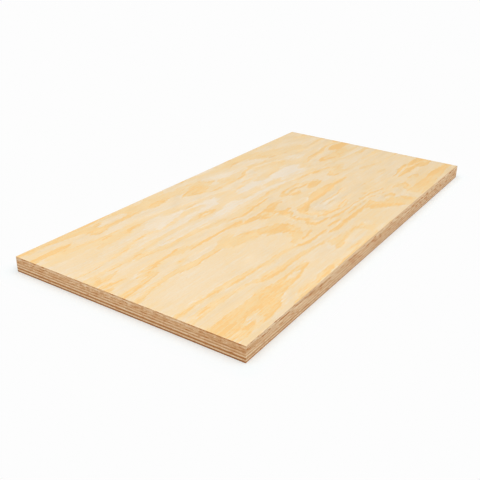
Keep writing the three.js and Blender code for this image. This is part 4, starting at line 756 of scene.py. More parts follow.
def srgb(red: int, green: int, blue: int) -> Colour:
    """Turn an 8-bit screen colour into the linear colour that a shader takes.

    Args:
        red: Red from 0 to 255.
        green: Green from 0 to 255.
        blue: Blue from 0 to 255.

    Returns:
        The linear red, green and blue, with an alpha of 1.
    """
    toe, slope, lift, power = 0.04045, 12.92, 0.055, 2.4
    channels = [value / 255 for value in (red, green, blue)]
    linear = [c / slope if c <= toe else ((c + lift) / (1 + lift)) ** power for c in channels]
    return (*linear, 1.0)


def smooth(value: np.ndarray) -> np.ndarray:
    """Ease values from 0 to 1, with level ends."""
    held = np.clip(value, 0.0, 1.0)
    return held * held * (3 - 2 * held)


class Grain(Enum):
    """Which way a veneer's fibres run."""

    ALONG = "along the sheet"
    ACROSS = "across the sheet"


class Axis(Enum):
    """The two level axes, by their column in a table of points."""

    X = 0
    Y = 1


class Edge(Enum):
    """The four sawn edges, by the axis that they face along and which way along it."""

    SHORT_NEAR = (Axis.X, -1)
    SHORT_FAR = (Axis.X, 1)
    LONG_NEAR = (Axis.Y, -1)
    LONG_FAR = (Axis.Y, 1)

    @property
    def is_short(self) -> bool:
        """Whether this edge crosses the sheet's length."""
        return self.value[0] is Axis.X

    @property
    def column(self) -> int:
        """Column of the axis that the edge faces along, in a table of points."""
        return self.value[0].value

    @property
    def side(self) -> int:
        """1 where the edge faces along that axis, -1 where it faces against it."""
        return self.value[1]


class Noise:
    """Smooth repeatable noise over a plane, between -1 and 1."""

    CELLS = 256

    def __init__(self, seed: int) -> None:
        """Draw the noise's lattice.

        Args:
            seed: Number that fixes the lattice.
        """
        self._lattice = np.random.default_rng(seed).uniform(-1.0, 1.0, (self.CELLS, self.CELLS))

    def at(self, u: np.ndarray, v: np.ndarray) -> np.ndarray:
        """Give the noise at points, one lattice cell to a unit.

        Args:
            u: First coordinates.
            v: Second coordinates.

        Returns:
            One value for each point.
        """
        column, row = np.floor(u).astype(int), np.floor(v).astype(int)
        across, up = smooth(u - column), smooth(v - row)
        left, right = column % self.CELLS, (column + 1) % self.CELLS
        low, high = row % self.CELLS, (row + 1) % self.CELLS
        below = self._lattice[low, left] * (1 - across) + self._lattice[low, right] * across
        above = self._lattice[high, left] * (1 - across) + self._lattice[high, right] * across
        return below * (1 - up) + above * up


@dataclass(frozen=True)
class Ripple:
    """One layer of noise with long cells.

    Attributes:
        seed: Number that fixes it.
        rise: What it adds at most.
        length: Size of its cells along the first coordinate.
        width: Size of its cells along the second one.
        shift: How many cells it is moved by, along each of them.
    """

    seed: int
    rise: float
    length: float
    width: float
    shift: tuple[float, float] = (0.0, 0.0)

    def at(self, u: np.ndarray, v: np.ndarray) -> np.ndarray:
        """Give the layer's value at points.

        Args:
            u: First coordinates.
            v: Second coordinates.

        Returns:
            One value for each point.
        """
        first, second = u / self.length + self.shift[0], v / self.width + self.shift[1]
        return self.rise * Noise(self.seed).at(first, second)


class Figure(ABC):
    """The growth-ring figure on a veneer: 0 is the palest early wood, 1 the deepest late wood.

    The constants are the steps over which a change of tone is read, and what the change is multiplied by.
    """

    STEP_ALONG = 3.0
    STEP_ACROSS = 0.9
    EDGE_GAIN = 1.6

    @abstractmethod
    def tones(self, x: np.ndarray, y: np.ndarray) -> np.ndarray:
        """Give the figure's tone at points.

        Args:
            x: Places along the sheet.
            y: Places across it.

        Returns:
            One tone for each point.
        """

    def shadings(self, x: np.ndarray, y: np.ndarray) -> np.ndarray:
        """Give how much lighter or darker the wood is at points: nothing, unless a figure says more."""
        return np.zeros_like(x)

    def edges(self, x: np.ndarray, y: np.ndarray) -> np.ndarray:
        """Say how near each point is to a ring's edge, where fibres break out of line.

        Args:
            x: Places along the sheet.
            y: Places across it.

        Returns:
            0 in plain wood, up to 1 where the tone changes fast.
        """
        change_x = self.tones(x + self.STEP_ALONG, y) - self.tones(x - self.STEP_ALONG, y)
        change_y = self.tones(x, y + self.STEP_ACROSS) - self.tones(x, y - self.STEP_ACROSS)
        return np.clip(np.hypot(change_x, change_y) * self.EDGE_GAIN, 0.0, 1.0)


@dataclass(frozen=True)
class Streak:
    """One band of early or late wood, painted along a smooth line.

    Attributes:
        tone: Tone that the band is painted in.
        line: Points along the band, each an x, a y and half the band's width there.
    """

    tone: float
    line: tuple[Point, ...]

    def trace(self, step: float) -> np.ndarray:
        """Run a smooth curve through the band's points.

        Args:
            step: Greatest distance between the curve's samples.

        Returns:
            Rows of x, y and half width.
        """
        knots = np.array(self.line, float)
        padded = np.vstack([2 * knots[0] - knots[1], knots, 2 * knots[-1] - knots[-2]])
        pieces = []
        for before, start, end, after in zip(padded, padded[1:], padded[2:], padded[3:]):
            count = max(2, math.ceil(math.dist(start[:2], end[:2]) / step))
            t = np.linspace(0, 1, count, endpoint=False)[:, None]
            bend = (2 * before - 5 * start + 4 * end - after) * t**2
            twist = (3 * start - before - 3 * end + after) * t**3
            pieces.append(start + 0.5 * ((end - before) * t + bend + twist))
        return np.vstack([*pieces, knots[-1:]])


@dataclass(frozen=True)
class Wash:
    """A soft patch, long with the grain, that changes what it lies on.

    Attributes:
        x: Its middle along the sheet.
        y: Its middle across it.
        reach: How far it reaches along the sheet.
        spread: How far it reaches across it.
        change: What it adds in its middle.
        slant: How far it climbs for each unit along the sheet.

    The constant is how many times its reach and spread it is laid out to.
    """

    x: float
    y: float
    reach: float
    spread: float
    change: float
    slant: float = 0.0

    FADE = 2.6

    def lay(self, raster: np.ndarray, x: np.ndarray, y: np.ndarray) -> None:
        """Add the patch to a raster.

        Args:
            raster: Values in rows along the sheet.
            x: Places of the raster's columns.
            y: Places of its rows.
        """
        wide = self.FADE * self.reach
        tall = self.FADE * self.spread + abs(self.slant) * wide
        columns = slice(*np.searchsorted(x, (self.x - wide, self.x + wide)))
        rows = slice(*np.searchsorted(y, (self.y - tall, self.y + tall)))
        along = x[None, columns] - self.x
        across = y[rows, None] - self.y - self.slant * along
        away = (along / self.reach) ** 2 + (across / self.spread) ** 2
        raster[rows, columns] += self.change * np.exp(-away)


@dataclass
class PaintedFigure(Figure):
    """A figure painted streak by streak on a fine raster, then read with ragged fibres.

    Attributes:
        rows: Streaks as rows of a tone and its points, painted in order.
        washes: Soft patches that deepen or pale the tone, as rows of Wash's values.
        shades: Soft patches that lighten or darken the wood, as rows of Wash's values.
        length: Length of the veneer.
        width: Width of the veneer.
        base: Tone of the wood between the streaks.
        cell: Size of a raster cell.
        softness: Width over which a streak's side fades.
        crispness: How much streaks stand out from what is round them.
        least_radius: Least radius that a streak's disc counts with.
        fibre_reach: How far fibres slide along the grain at a band's ragged end.
        slides: Layers of the fibres' slide along the grain.
        sways: Layers of the fibres' sway across it.

    The constants are the passes that soften the streaks, the passes that give what is round them, and
    how many cells a pass blends on either side.
    """

    rows: Sequence[StreakRow]
    washes: Sequence[WashRow]
    shades: Sequence[WashRow]
    length: float
    width: float
    base: float = 0.38
    cell: float = 0.5
    softness: float = 1.3
    crispness: float = 0.45
    least_radius: float = 0.2
    fibre_reach: float = 3.5
    slides: tuple[Ripple, ...] = (Ripple(11, 0.6, 70, 1.5), Ripple(13, 0.4, 30, 4))
    sways: tuple[Ripple, ...] = (Ripple(12, 0.9, 16, 6), Ripple(12, 0.35, 6, 2.5, (90, 0)))

    SOFT_PASSES = 1
    ROUND_PASSES = 3
    BLEND_CELLS = 2

    def __post_init__(self) -> None:
        """Paint the raster."""
        self._x = np.arange(-self.length / 2, self.length / 2 + self.cell, self.cell)
        self._y = np.arange(-self.width / 2, self.width / 2 + self.cell, self.cell)
        self._raster = np.full((len(self._y), len(self._x)), self.base)
        for tone, *line in self.rows:
            self._paint(Streak(tone, tuple(line)))
        self._raster = self._blended(self._raster, self.SOFT_PASSES)
        around = self._blended(self._blended(self._raster, self.ROUND_PASSES).T, self.ROUND_PASSES).T
        self._raster += self.crispness * (self._raster - around)
        self._shade = np.zeros_like(self._raster)
        for rows, raster in ((self.washes, self._raster), (self.shades, self._shade)):
            for row in rows:
                Wash(*row).lay(raster, self._x, self._y)

    def _paint(self, streak: Streak) -> None:
        """Lay one streak over what is painted so far.

        Args:
            streak: Band to paint.
        """
        discs = streak.trace(step=1.0)
        reach = discs[:, 2].max() + self.softness
        low, high = discs.min(0) - reach, discs.max(0) + reach
        columns = slice(*np.searchsorted(self._x, (low[0], high[0])))
        rows = slice(*np.searchsorted(self._y, (low[1], high[1])))
        x, y = self._x[columns], self._y[rows]
        depth = np.full((len(y), len(x)), -reach)
        for disc_x, disc_y, radius in discs:
            span = max(radius, self.least_radius) + self.softness
            near_x = slice(*np.searchsorted(x, (disc_x - span, disc_x + span)))
            near_y = slice(*np.searchsorted(y, (disc_y - span, disc_y + span)))
            away = np.hypot(x[None, near_x] - disc_x, y[near_y, None] - disc_y)
            depth[near_y, near_x] = np.maximum(depth[near_y, near_x], radius - away)
        cover = smooth(depth / self.softness + 0.5)
        part = self._raster[rows, columns]
        part += (streak.tone - part) * cover

    def _blended(self, raster: np.ndarray, passes: int) -> np.ndarray:
        """Blend a raster along its rows.

        Args:
            raster: Values in rows.
            passes: How many times to blend.

        Returns:
            The blended raster.
        """
        count = 2 * self.BLEND_CELLS + 1
        for _ in range(passes):
            padded = np.pad(raster, ((0, 0), (self.BLEND_CELLS, self.BLEND_CELLS)), mode="edge")
            raster = sum(padded[:, k : k + raster.shape[1]] for k in range(count)) / count
        return raster

    def _read(self, raster: np.ndarray, x: np.ndarray, y: np.ndarray) -> np.ndarray:
        """Read a raster between its cells.

        Args:
            raster: Values in rows along the sheet.
            x: Places along the sheet.
            y: Places across it.

        Returns:
            One value for each point.
        """
        short_of_last = 1.001
        u = np.clip((x - self._x[0]) / self.cell, 0, len(self._x) - short_of_last)
        v = np.clip((y - self._y[0]) / self.cell, 0, len(self._y) - short_of_last)
        column, row = u.astype(int), v.astype(int)
        across, up = u - column, v - row
        below = raster[row, column] * (1 - across) + raster[row, column + 1] * across
        above = raster[row + 1, column] * (1 - across) + raster[row + 1, column + 1] * across
        return below * (1 - up) + above * up

    def shadings(self, x: np.ndarray, y: np.ndarray) -> np.ndarray:
        """Give the painted shading, with fibres moved as the tones are."""
        return self._read(self._shade, *self._fibres(x, y))

    def tones(self, x: np.ndarray, y: np.ndarray) -> np.ndarray:
        """Give the painted tone, with each fibre slid a little along the grain.

        Args:
            x: Places along the sheet.
            y: Places across it.

        Returns:
            One tone for each point.
        """
        return self._read(self._raster, *self._fibres(x, y))

    def _fibres(self, x: np.ndarray, y: np.ndarray) -> tuple[np.ndarray, np.ndarray]:
        """Slide and sway points as the fibres through them run.

        Args:
            x: Places along the sheet.
            y: Places across it.

        Returns:
            The moved places along and across the sheet.
        """
        slide = sum(ripple.at(x, y) for ripple in self.slides)
        sway = sum(ripple.at(x, y) for ripple in self.sways)
        return x + self.fibre_reach * slide, y + sway


@dataclass
class RingFigure(Figure):
    """A plain figure: the peeling knife follows the rings, which come up as long wavy bands.

    Attributes:
        ring_width: Typical distance between two rings on the face.
        ripples: Layers that the figure wanders by, in rings.
        base: Tone of the early wood.
        deepening: What late wood adds to it.
        rise: Parts of a ring between which late wood comes in.
        fall: Parts of a ring between which it ends.
    """

    ring_width: float = 17.0
    ripples: tuple[Ripple, ...] = (
        Ripple(5, 2.6, 210, 62, (40, 40)),
        Ripple(6, 0.35, 46, 13, (20, 20)),
        Ripple(6, 0.06, 60, 1.4),
    )
    base: float = 0.30
    deepening: float = 0.48
    rise: tuple[float, float] = (0.35, 0.85)
    fall: tuple[float, float] = (0.9, 1.0)

    def tones(self, x: np.ndarray, y: np.ndarray) -> np.ndarray:
        """Give the tone of the ring that each point lies in.

        Args:
            x: Places along the sheet.
            y: Places across it.

        Returns:
            One tone for each point.
        """
        rings = y / self.ring_width + sum(ripple.at(x, y) for ripple in self.ripples)
        phase = rings - np.floor(rings)
        come, gone = (smooth((phase - start) / (stop - start)) for start, stop in (self.rise, self.fall))
        return self.base + self.deepening * come * (1 - gone)


@dataclass(frozen=True)
class Pattern:
    """Procedural noise on a piece's own coordinates.

    Attributes:
        cells: Size of its cells along X, Y and Z.
        shift: Place in the noise that the object's origin gets.
        detail: How many finer layers it has.
    """

    cells: Point
    shift: Point = (0.0, 0.0, 0.0)
    detail: float = 2.0


class NodeSheet:
    """A material's node tree, with short calls for the nodes that the finishes share.

    The constants are the places of the sockets for colours on Blender's Mix node.
    """

    MIX_SHARE, MIX_BASE, MIX_OVER, MIX_COLOUR = 0, 6, 7, 2

    def __init__(self, name: str, roughness: float, specular: float) -> None:
        """Start a material with one surface shader.

        Args:
            name: Material's name.
            roughness: Shader's own roughness.
            specular: Shader's own specular level.
        """
        self.material = bpy.data.materials.new(name)
        self.material.use_nodes = True
        self.nodes = self.material.node_tree.nodes
        self.shader = self.nodes["Principled BSDF"]
        self.shader.inputs["Roughness"].default_value = roughness
        self.shader.inputs["Specular IOR Level"].default_value = specular

    def node(self, kind: str, **settings: object) -> bpy.types.Node:
        """Add a node.

        Args:
            kind: Node's type.
            **settings: Values for the node's own properties.

        Returns:
            The node.
        """
        made = self.nodes.new(kind)
        for name, value in settings.items():
            setattr(made, name, value)
        return made

    def join(self, source: Socket, target: Socket) -> None:
        """Link two sockets."""
        self.material.node_tree.links.new(source, target)

    def feed(self, target: Socket, value: Socket | float | Colour) -> None:
        """Link a socket into another, or set it where a plain value is given.

        Args:
            target: Socket that takes the value.
            value: Socket to link, or the value itself.
        """
        if isinstance(value, Socket):
            self.join(value, target)
        else:
            target.default_value = value

    def attribute(self, name: str) -> Socket:
        """Read a number that the mesh carries at its vertices."""
        return self.node("ShaderNodeAttribute", attribute_name=name).outputs["Fac"]

    def place(self, cells: Point = (1.0, 1.0, 1.0), shift: Point = (0.0, 0.0, 0.0)) -> Socket:
        """Give the object's own coordinates, scaled to a pattern's cells.

        Args:
            cells: Size of the pattern's cells along X, Y and Z.
            shift: Place in the pattern that the object's origin gets.

        Returns:
            The scaled coordinates.
        """
        mapping = self.node("ShaderNodeMapping")
        mapping.inputs["Scale"].default_value = tuple(1 / (cell * MM) for cell in cells)
        mapping.inputs["Location"].default_value = shift
        self.join(self.node("ShaderNodeTexCoord").outputs["Object"], mapping.inputs["Vector"])
        return mapping.outputs["Vector"]

    def part(self, axis: Axis, where: Socket) -> Socket:
        """Take one coordinate out of a place.

        Args:
            axis: Axis of the coordinate.
            where: Place.

        Returns:
            The coordinate.
        """
        split = self.node("ShaderNodeSeparateXYZ")
        self.join(where, split.inputs["Vector"])
        return split.outputs[axis.name]

    def noise(self, where: Socket, detail: float) -> Socket:
        """Add noise of one cell to a unit, from -0.5 to 0.5.

        Args:
            where: Coordinates to read the noise at.
            detail: How many finer layers the noise has.

        Returns:
            The noise's value.
        """
        cloud = self.node("ShaderNodeTexNoise")
        cloud.inputs["Scale"].default_value = 1.0
        cloud.inputs["Detail"].default_value = detail
        self.join(where, cloud.inputs["Vector"])
        return self.math("SUBTRACT", cloud.outputs["Fac"], 0.5)

    def pattern(self, pattern: Pattern) -> Socket:
        """Lay a pattern on the piece."""
        return self.noise(self.place(pattern.cells, pattern.shift), pattern.detail)

    def math(self, operation: str, first: Socket | float, second: Socket | float = 0.0) -> Socket:
        """Combine two numbers.

        Args:
            operation: Blender's name of the sum.
            first: First number.
            second: Second number, where the sum takes one.

        Returns:
            The result.
        """
        made = self.node("ShaderNodeMath", operation=operation)
        self.feed(made.inputs[0], first)
        self.feed(made.inputs[1], second)
        return made.outputs[0]

    def add(self, *parts: Socket | float) -> Socket:
        """Add several numbers.

        Args:
            *parts: Numbers to add, the first of them first.

        Returns:
            The sum.
        """
        total = parts[0]
        for part in parts[1:]:
            total = self.math("ADD", total, part)
        return total

    def times(self, first: Socket | float, second: Socket | float) -> Socket:
        """Multiply two numbers."""
        return self.math("MULTIPLY", first, second)

    def weigh(self, parts: Parts, shares: dict[str, float], *whole: Socket | float) -> Socket:
        """Add up parts by their shares.

        Args:
            parts: Numbers by name.
            shares: What each named part is multiplied by.
            *whole: Numbers that are added as they are, before the others.

        Returns:
            The sum.
        """
        return self.add(*whole, *(self.times(parts[name], share) for name, share in shares.items()))

    def band(self, value: Socket, start: float, stop: float) -> Socket:
        """Ease a number from 0 at start to 1 at stop.

        Args:
            value: Number to read.
            start: Value that gives 0.
            stop: Value that gives 1.

        Returns:
            The eased number.
        """
        made = self.node("ShaderNodeMapRange", interpolation_type="SMOOTHSTEP")
        self.join(value, made.inputs["Value"])
        made.inputs["From Min"].default_value = start
        made.inputs["From Max"].default_value = stop
        return made.outputs["Result"]

    def ramp(self, value: Socket, stops: Stops) -> Socket:
        """Turn a number into a colour.

        Args:
            value: Number from 0 to 1.
            stops: Places along the ramp and their colours.

        Returns:
            The colour.
        """
        made = self.node("ShaderNodeValToRGB")
        points = made.color_ramp.elements
        while len(points) < len(stops):
            points.new(0.5)
        for point, (place, colour) in zip(points, stops):
            point.position = place
            point.color = colour
        self.join(value, made.inputs["Fac"])
        return made.outputs["Color"]

    def blend(
        self, share: Socket | float, base: Socket | Colour, over: Socket | Colour, blend_type: str = "MIX"
    ) -> Socket:
        """Blend one colour over another.

        Args:
            share: How much of the second colour shows.
            base: First colour.
            over: Second colour.
            blend_type: Blender's name of the blend.

        Returns:
            The blended colour.
        """
        made = self.node("ShaderNodeMix", data_type="RGBA", blend_type=blend_type)
        self.feed(made.inputs[self.MIX_SHARE], share)
        self.feed(made.inputs[self.MIX_BASE], base)
        self.feed(made.inputs[self.MIX_OVER], over)
        return made.outputs[self.MIX_COLOUR]

    def grey(self, value: Socket) -> Socket:
        """Turn a number into a grey.

        Args:
            value: Brightness from 0 to 1.

        Returns:
            The grey.
        """
        made = self.node("ShaderNodeCombineColor")
        for channel in made.inputs:
            self.join(value, channel)
        return made.outputs["Color"]

    def bump(self, height: Socket, distance: float, strength: float) -> None:
        """Roughen the surface.

        Args:
            height: Height, from 0 to 1.
            distance: What a height of 1 measures.
            strength: How strongly the bump shows.
        """
        made = self.node("ShaderNodeBump")
        made.inputs["Strength"].default_value = strength
        made.inputs["Distance"].default_value = distance * MM
        self.join(height, made.inputs["Height"])
        self.join(made.outputs["Normal"], self.shader.inputs["Normal"])


class Finish(ABC):
    """A finish that makes its own material."""

    @abstractmethod
    def material(self) -> bpy.types.Material:
        """Make the finish's material."""


@dataclass(frozen=True)
class PlanedPine(Finish):
    """Sanded pine veneer: cream early wood, honey to orange late wood, fine fibres.

    Attributes:
        name: Material's name.
        length: Length of the veneer.
        stops: Colours by the figure's tone.
        far_painted_shade: Brightness at the far end, where the near end has 1: a painted shade for the
            light that falls off towards that end.
        near_lift: What is added to the brightness all along.
        shading: What one unit of the figure's shading adds to the brightness.
        duct_colour: Colour of the resin ducts.
        duct_cover: How strongly they show.
        worn_colour: Colour of the wood that a rubbed arris lays bare.
        bump_height: Height of the raised grain.
        bump_strength: How strongly it shows.

    The patterns are named for what they stand for, and each table of shares says how much of them goes
    into the tone, the tone at a ring's broken edge, the brightness, the roughness and the raised grain.
    """

    name: str
    length: float
    stops: Stops = (
        (0.00, srgb(250, 234, 211)),
        (0.18, srgb(250, 229, 196)),
        (0.38, srgb(250, 224, 183)),
        (0.58, srgb(251, 221, 170)),
        (0.78, srgb(252, 216, 157)),
        (1.00, srgb(253, 207, 138)),
    )
    far_painted_shade: float = 0.925
    near_lift: float = 0.004
    shading: float = 0.009
    duct_colour: Colour = srgb(226, 188, 138)
    duct_cover: float = 0.35
    worn_colour: Colour = srgb(222, 185, 143)
    bump_height: float = 0.05
    bump_strength: float = 0.7

    PATTERNS = {
        "fibres": Pattern((24, 0.8, 5)),
        "teeth": Pattern((9, 1.7, 5), (5, 1, 2)),
        "clumps": Pattern((55, 4.5, 9), (7, 3, 0)),
        "cloud": Pattern((90, 38, 60), (2, 9, 0), detail=1),
        "pores": Pattern((3.2, 2.0, 3), (1, 6, 3)),
        "ducts": Pattern((7, 0.32, 3), (0, 0, 4), detail=1),
    }
    LINE_LENGTH = 70.0
    TONE_SHARES = {"fibres": 0.45, "teeth": 0.3, "pores": 0.4, "clumps": 0.55, "cloud": 0.5, "lines": 0.4}
    BROKEN_SHARES = {"teeth": 2.2, "fibres": 1.1, "pores": 0.8}
    BRIGHTNESS_SHARES = {"teeth": 0.03, "clumps": 0.02}
    ROUGHNESS = 0.58
    ROUGHNESS_SHARES = {"late": -0.08, "fibres": 0.25}
    RELIEF_SHARES = {"fibres": 0.4, "teeth": 0.5, "lines": 0.8, "late": 0.8}
    DUCT_BAND = (0.16, 0.24)
    WORN_SHARES = {"teeth": 0.8}
    WORN_BAND = (0.3, 0.7)

    def material(self) -> bpy.types.Material:
        """Make the planed face's material.

        Returns:
            The material.
        """
        sheet = NodeSheet(self.name, roughness=0.55, specular=0.30)
        parts = {name: sheet.pattern(pattern) for name, pattern in self.PATTERNS.items()}
        # The figure's tone, with the painted highlight along the arris.
        parts["late"] = sheet.attribute("late_wood_and_rim_highlight")
        parts["lines"] = self._ring_lines(sheet)
        broken = sheet.times(sheet.attribute("ragged"), sheet.weigh(parts, self.BROKEN_SHARES))
        tone = sheet.weigh(parts, self.TONE_SHARES, parts["late"], broken)
        colour = sheet.ramp(tone, self.stops)
        ducts = sheet.times(sheet.band(parts["ducts"], *self.DUCT_BAND), self.duct_cover)
        colour = sheet.blend(ducts, colour, self.duct_colour)
        worn = sheet.band(sheet.weigh(parts, self.WORN_SHARES, sheet.attribute("worn")), *self.WORN_BAND)
        colour = sheet.blend(worn, colour, self.worn_colour)
        painted = sheet.times(sheet.attribute("shading"), self.shading)
        # The brightness carries a painted shade that deepens towards the far end, where the light falls
        # off.
        shade = sheet.weigh(parts, self.BRIGHTNESS_SHARES, self._painted_falloff(sheet), painted)
        colour = sheet.blend(1.0, colour, sheet.grey(shade), "MULTIPLY")
        sheet.join(colour, sheet.shader.inputs["Base Color"])
        gloss = sheet.weigh(parts, self.ROUGHNESS_SHARES, self.ROUGHNESS)
        sheet.join(gloss, sheet.shader.inputs["Roughness"])
        sheet.bump(sheet.weigh(parts, self.RELIEF_SHARES), self.bump_height, self.bump_strength)
        return sheet.material

    def _ring_lines(self, sheet: NodeSheet) -> Socket:
        """Draw the fine ring lines, which bend round the figure.

        Args:
            sheet: Node tree to draw them in.

        Returns:
            The lines' value.
        """
        flow = sheet.node("ShaderNodeCombineXYZ")
        sheet.join(sheet.part(Axis.X, sheet.place((self.LINE_LENGTH, 1, 1))), flow.inputs["X"])
        sheet.join(sheet.attribute("flow"), flow.inputs["Y"])
        return sheet.noise(flow.outputs["Vector"], detail=2)

    def _painted_falloff(self, sheet: NodeSheet) -> Socket:
        """Paint a little shade towards the far end, where the light falls off.

        Args:
            sheet: Node tree to work in.

        Returns:
            The brightness.
        """
        share = sheet.part(Axis.X, sheet.place((self.length, 1, 1), (0.5, 0, 0)))
        return sheet.add(sheet.times(share, self.far_painted_shade - 1), 1 + self.near_lift)


@dataclass(frozen=True)
class EdgeSide:
    """What a short edge or a long one shows, whatever the veneer.

    Attributes:
        along: Axis that the edge runs along.
        blotch: Blotches, with cells along, into and up the edge, as in every pattern of an edge.
        sawn: Share of the blade's marks in the tone, and what a mottle of 1 adds to it.
        drift: Places along that axis where the tone's drift starts and is complete.
        drawn_out: How far the patterns are drawn out along the edge.
    """

    along: Axis
    blotch: Pattern
    sawn: Pair
    drift: Pair
    drawn_out: float


@dataclass(frozen=True)
class EdgeFibres:
    """How a veneer's fibres show where the saw went through them.

    Attributes:
        grain: Fine grain.
        checks: Small splits.
        split: Values of the splits' pattern where one starts and is fully open.
    """

    grain: Pattern
    checks: Pattern
    split: Pair


SHORT_SIDE = EdgeSide(Axis.Y, Pattern((9, 60, 1.3)), (0.1, 0.4), (-70, -140), drawn_out=1.0)
LONG_SIDE = EdgeSide(Axis.X, Pattern((20, 60, 1.3)), (0.05, 0.15), (-250, -60), drawn_out=1.5)
CUT_FIBRES = EdgeFibres(
    Pattern((2.4, 60, 0.30), detail=3), Pattern((3.6, 60, 0.8), (9, 2, 1)), (0.07, 0.15)
)
LYING_FIBRES = EdgeFibres(
    Pattern((12, 60, 0.25), detail=3), Pattern((7, 60, 0.6), (4, 7, 2)), (0.09, 0.17)
)


@dataclass(frozen=True)
class SawnEdge(Finish):
    """A veneer's sawn edge, showing either the ends or the sides of its fibres.

    Attributes:
        name: Material's name.
        side: What its short or its long edges show.
        fibres: What its cut or its lying fibres show.
        tone: How dark the veneer is here, from 0 to 1.
        drift: What the tone gains where the side's drift is complete.
        mottle: How blotchy the veneer is.
        stops: Colours by tone.
        glue_colour: Colour of a joint.
        glue_cover: How strongly it shows.
        chip_colour: Colour of a chip.
        chip_cover: How strongly it shows.
        chip_wear: How much of that the grain wears off or adds.
        tuft_colour: Colour of a tuft.
        tuft_cover: How strongly it shows.
        bump_height: Height of the roughness that the saw left.
        bump_strength: How strongly it shows.

    A share given as a pair is what a veneer without mottle has, and what a mottle of 1 adds to it.
    """

    name: str
    side: EdgeSide
    fibres: EdgeFibres
    tone: float
    drift: float
    mottle: float
    stops: Stops = (
        (0.00, srgb(242, 218, 182)),
        (0.38, srgb(220, 177, 130)),
        (0.74, srgb(188, 131, 80)),
        (1.00, srgb(149, 95, 50)),
    )
    glue_colour: Colour = srgb(150, 104, 66)
    glue_cover: float = 0.22
    chip_colour: Colour = srgb(182, 104, 26)
    chip_cover: float = 0.92
    chip_wear: float = 2.4
    tuft_colour: Colour = srgb(250, 224, 186)
    tuft_cover: float = 0.55
    bump_height: float = 0.05
    bump_strength: float = 0.5

    BLADE = Pattern((3.2, 40, 9), (3, 5, 0), detail=3)
    GRAIN_SHARE = (0.2, 0.45)
    BLOTCH_SHARE = (0.15, 1.1)
    SPECK_SHARE = (0.05, 0.5)
    SPLIT_SHARE = 0.05
    GLUE_BAND = (0.35, 0.95)
    CHIP_SHARES = {"checks": 3.4, "grain": 2.2}
    CHIP_BAND = (0.2, 0.9)
    ROUGHNESS = 0.84
    ROUGHNESS_SHARES = {"grain": 0.3}
    RELIEF_SHARES = {"grain": 0.8, "blade": 0.7, "splits": -0.8}

    def material(self) -> bpy.types.Material:
        """Make the sawn edge's material.

        Returns:
            The material.
        """
        sheet = NodeSheet(self.name, roughness=0.82, specular=0.15)
        parts = {
            "blotch": self._pattern(sheet, self.side.blotch),
            "blade": self._pattern(sheet, self.BLADE),
            "grain": self._pattern(sheet, self.fibres.grain),
            "checks": self._pattern(sheet, self.fibres.checks),
            "drift": sheet.band(sheet.part(self.side.along, sheet.place()), *self.side.drift),
        }
        parts["splits"] = sheet.band(parts["checks"], *self.fibres.split)
        shares = {
            "drift": self.drift,
            "grain": self._share(self.GRAIN_SHARE),
            "blotch": self._share(self.BLOTCH_SHARE),
            "blade": self._share(self.side.sawn),
            "splits": self.SPLIT_SHARE,
        }
        tone = sheet.add(sheet.weigh(parts, shares, self.tone), sheet.attribute("tone_patches"))
        colour = self._marked(sheet, parts, sheet.ramp(tone, self.stops))
        sheet.join(colour, sheet.shader.inputs["Base Color"])
        rough = sheet.weigh(parts, self.ROUGHNESS_SHARES, self.ROUGHNESS)
        sheet.join(rough, sheet.shader.inputs["Roughness"])
        sheet.bump(sheet.weigh(parts, self.RELIEF_SHARES), self.bump_height, self.bump_strength)
        return sheet.material

    def _pattern(self, sheet: NodeSheet, pattern: Pattern) -> Socket:
        """Lay a pattern whose cells are sizes along, into and up the edge.

        Args:
            sheet: Node tree to lay it in.
            pattern: Pattern to lay.

        Returns:
            The pattern's value.
        """
        along, through, up = pattern.cells
        along *= self.side.drawn_out
        cells = (along, through, up) if self.side.along is Axis.X else (through, along, up)
        return sheet.pattern(replace(pattern, cells=cells))

    def _share(self, share: Pair) -> float:
        """Work out a share that grows with the veneer's mottle."""
        return share[0] + share[1] * self.mottle

    def _marked(self, sheet: NodeSheet, parts: Parts, colour: Socket) -> Socket:
        """Lay the joints, the chips and the tufts over the wood's colour.

        Args:
            sheet: Node tree to work in.
            parts: Patterns by name.
            colour: Wood's colour.

        Returns:
            The colour of all of it.
        """
        glued = sheet.times(sheet.band(sheet.attribute("glue"), *self.GLUE_BAND), self.glue_cover)
        colour = sheet.blend(glued, colour, self.glue_colour)
        mark = sheet.attribute("mark")
        specks = sheet.times(parts["splits"], self._share(self.SPECK_SHARE))
        chips = sheet.band(sheet.weigh(parts, self.CHIP_SHARES, mark), *self.CHIP_BAND)
        cover = sheet.weigh(parts, {"grain": self.chip_wear}, self.chip_cover)
        chips = sheet.math("MAXIMUM", sheet.times(chips, cover), specks)
        colour = sheet.blend(chips, colour, self.chip_colour)
        tufts = sheet.times(sheet.band(sheet.times(mark, -1.0), 0.0, 1.0), self.tuft_cover)
        return sheet.blend(tufts, colour, self.tuft_colour)


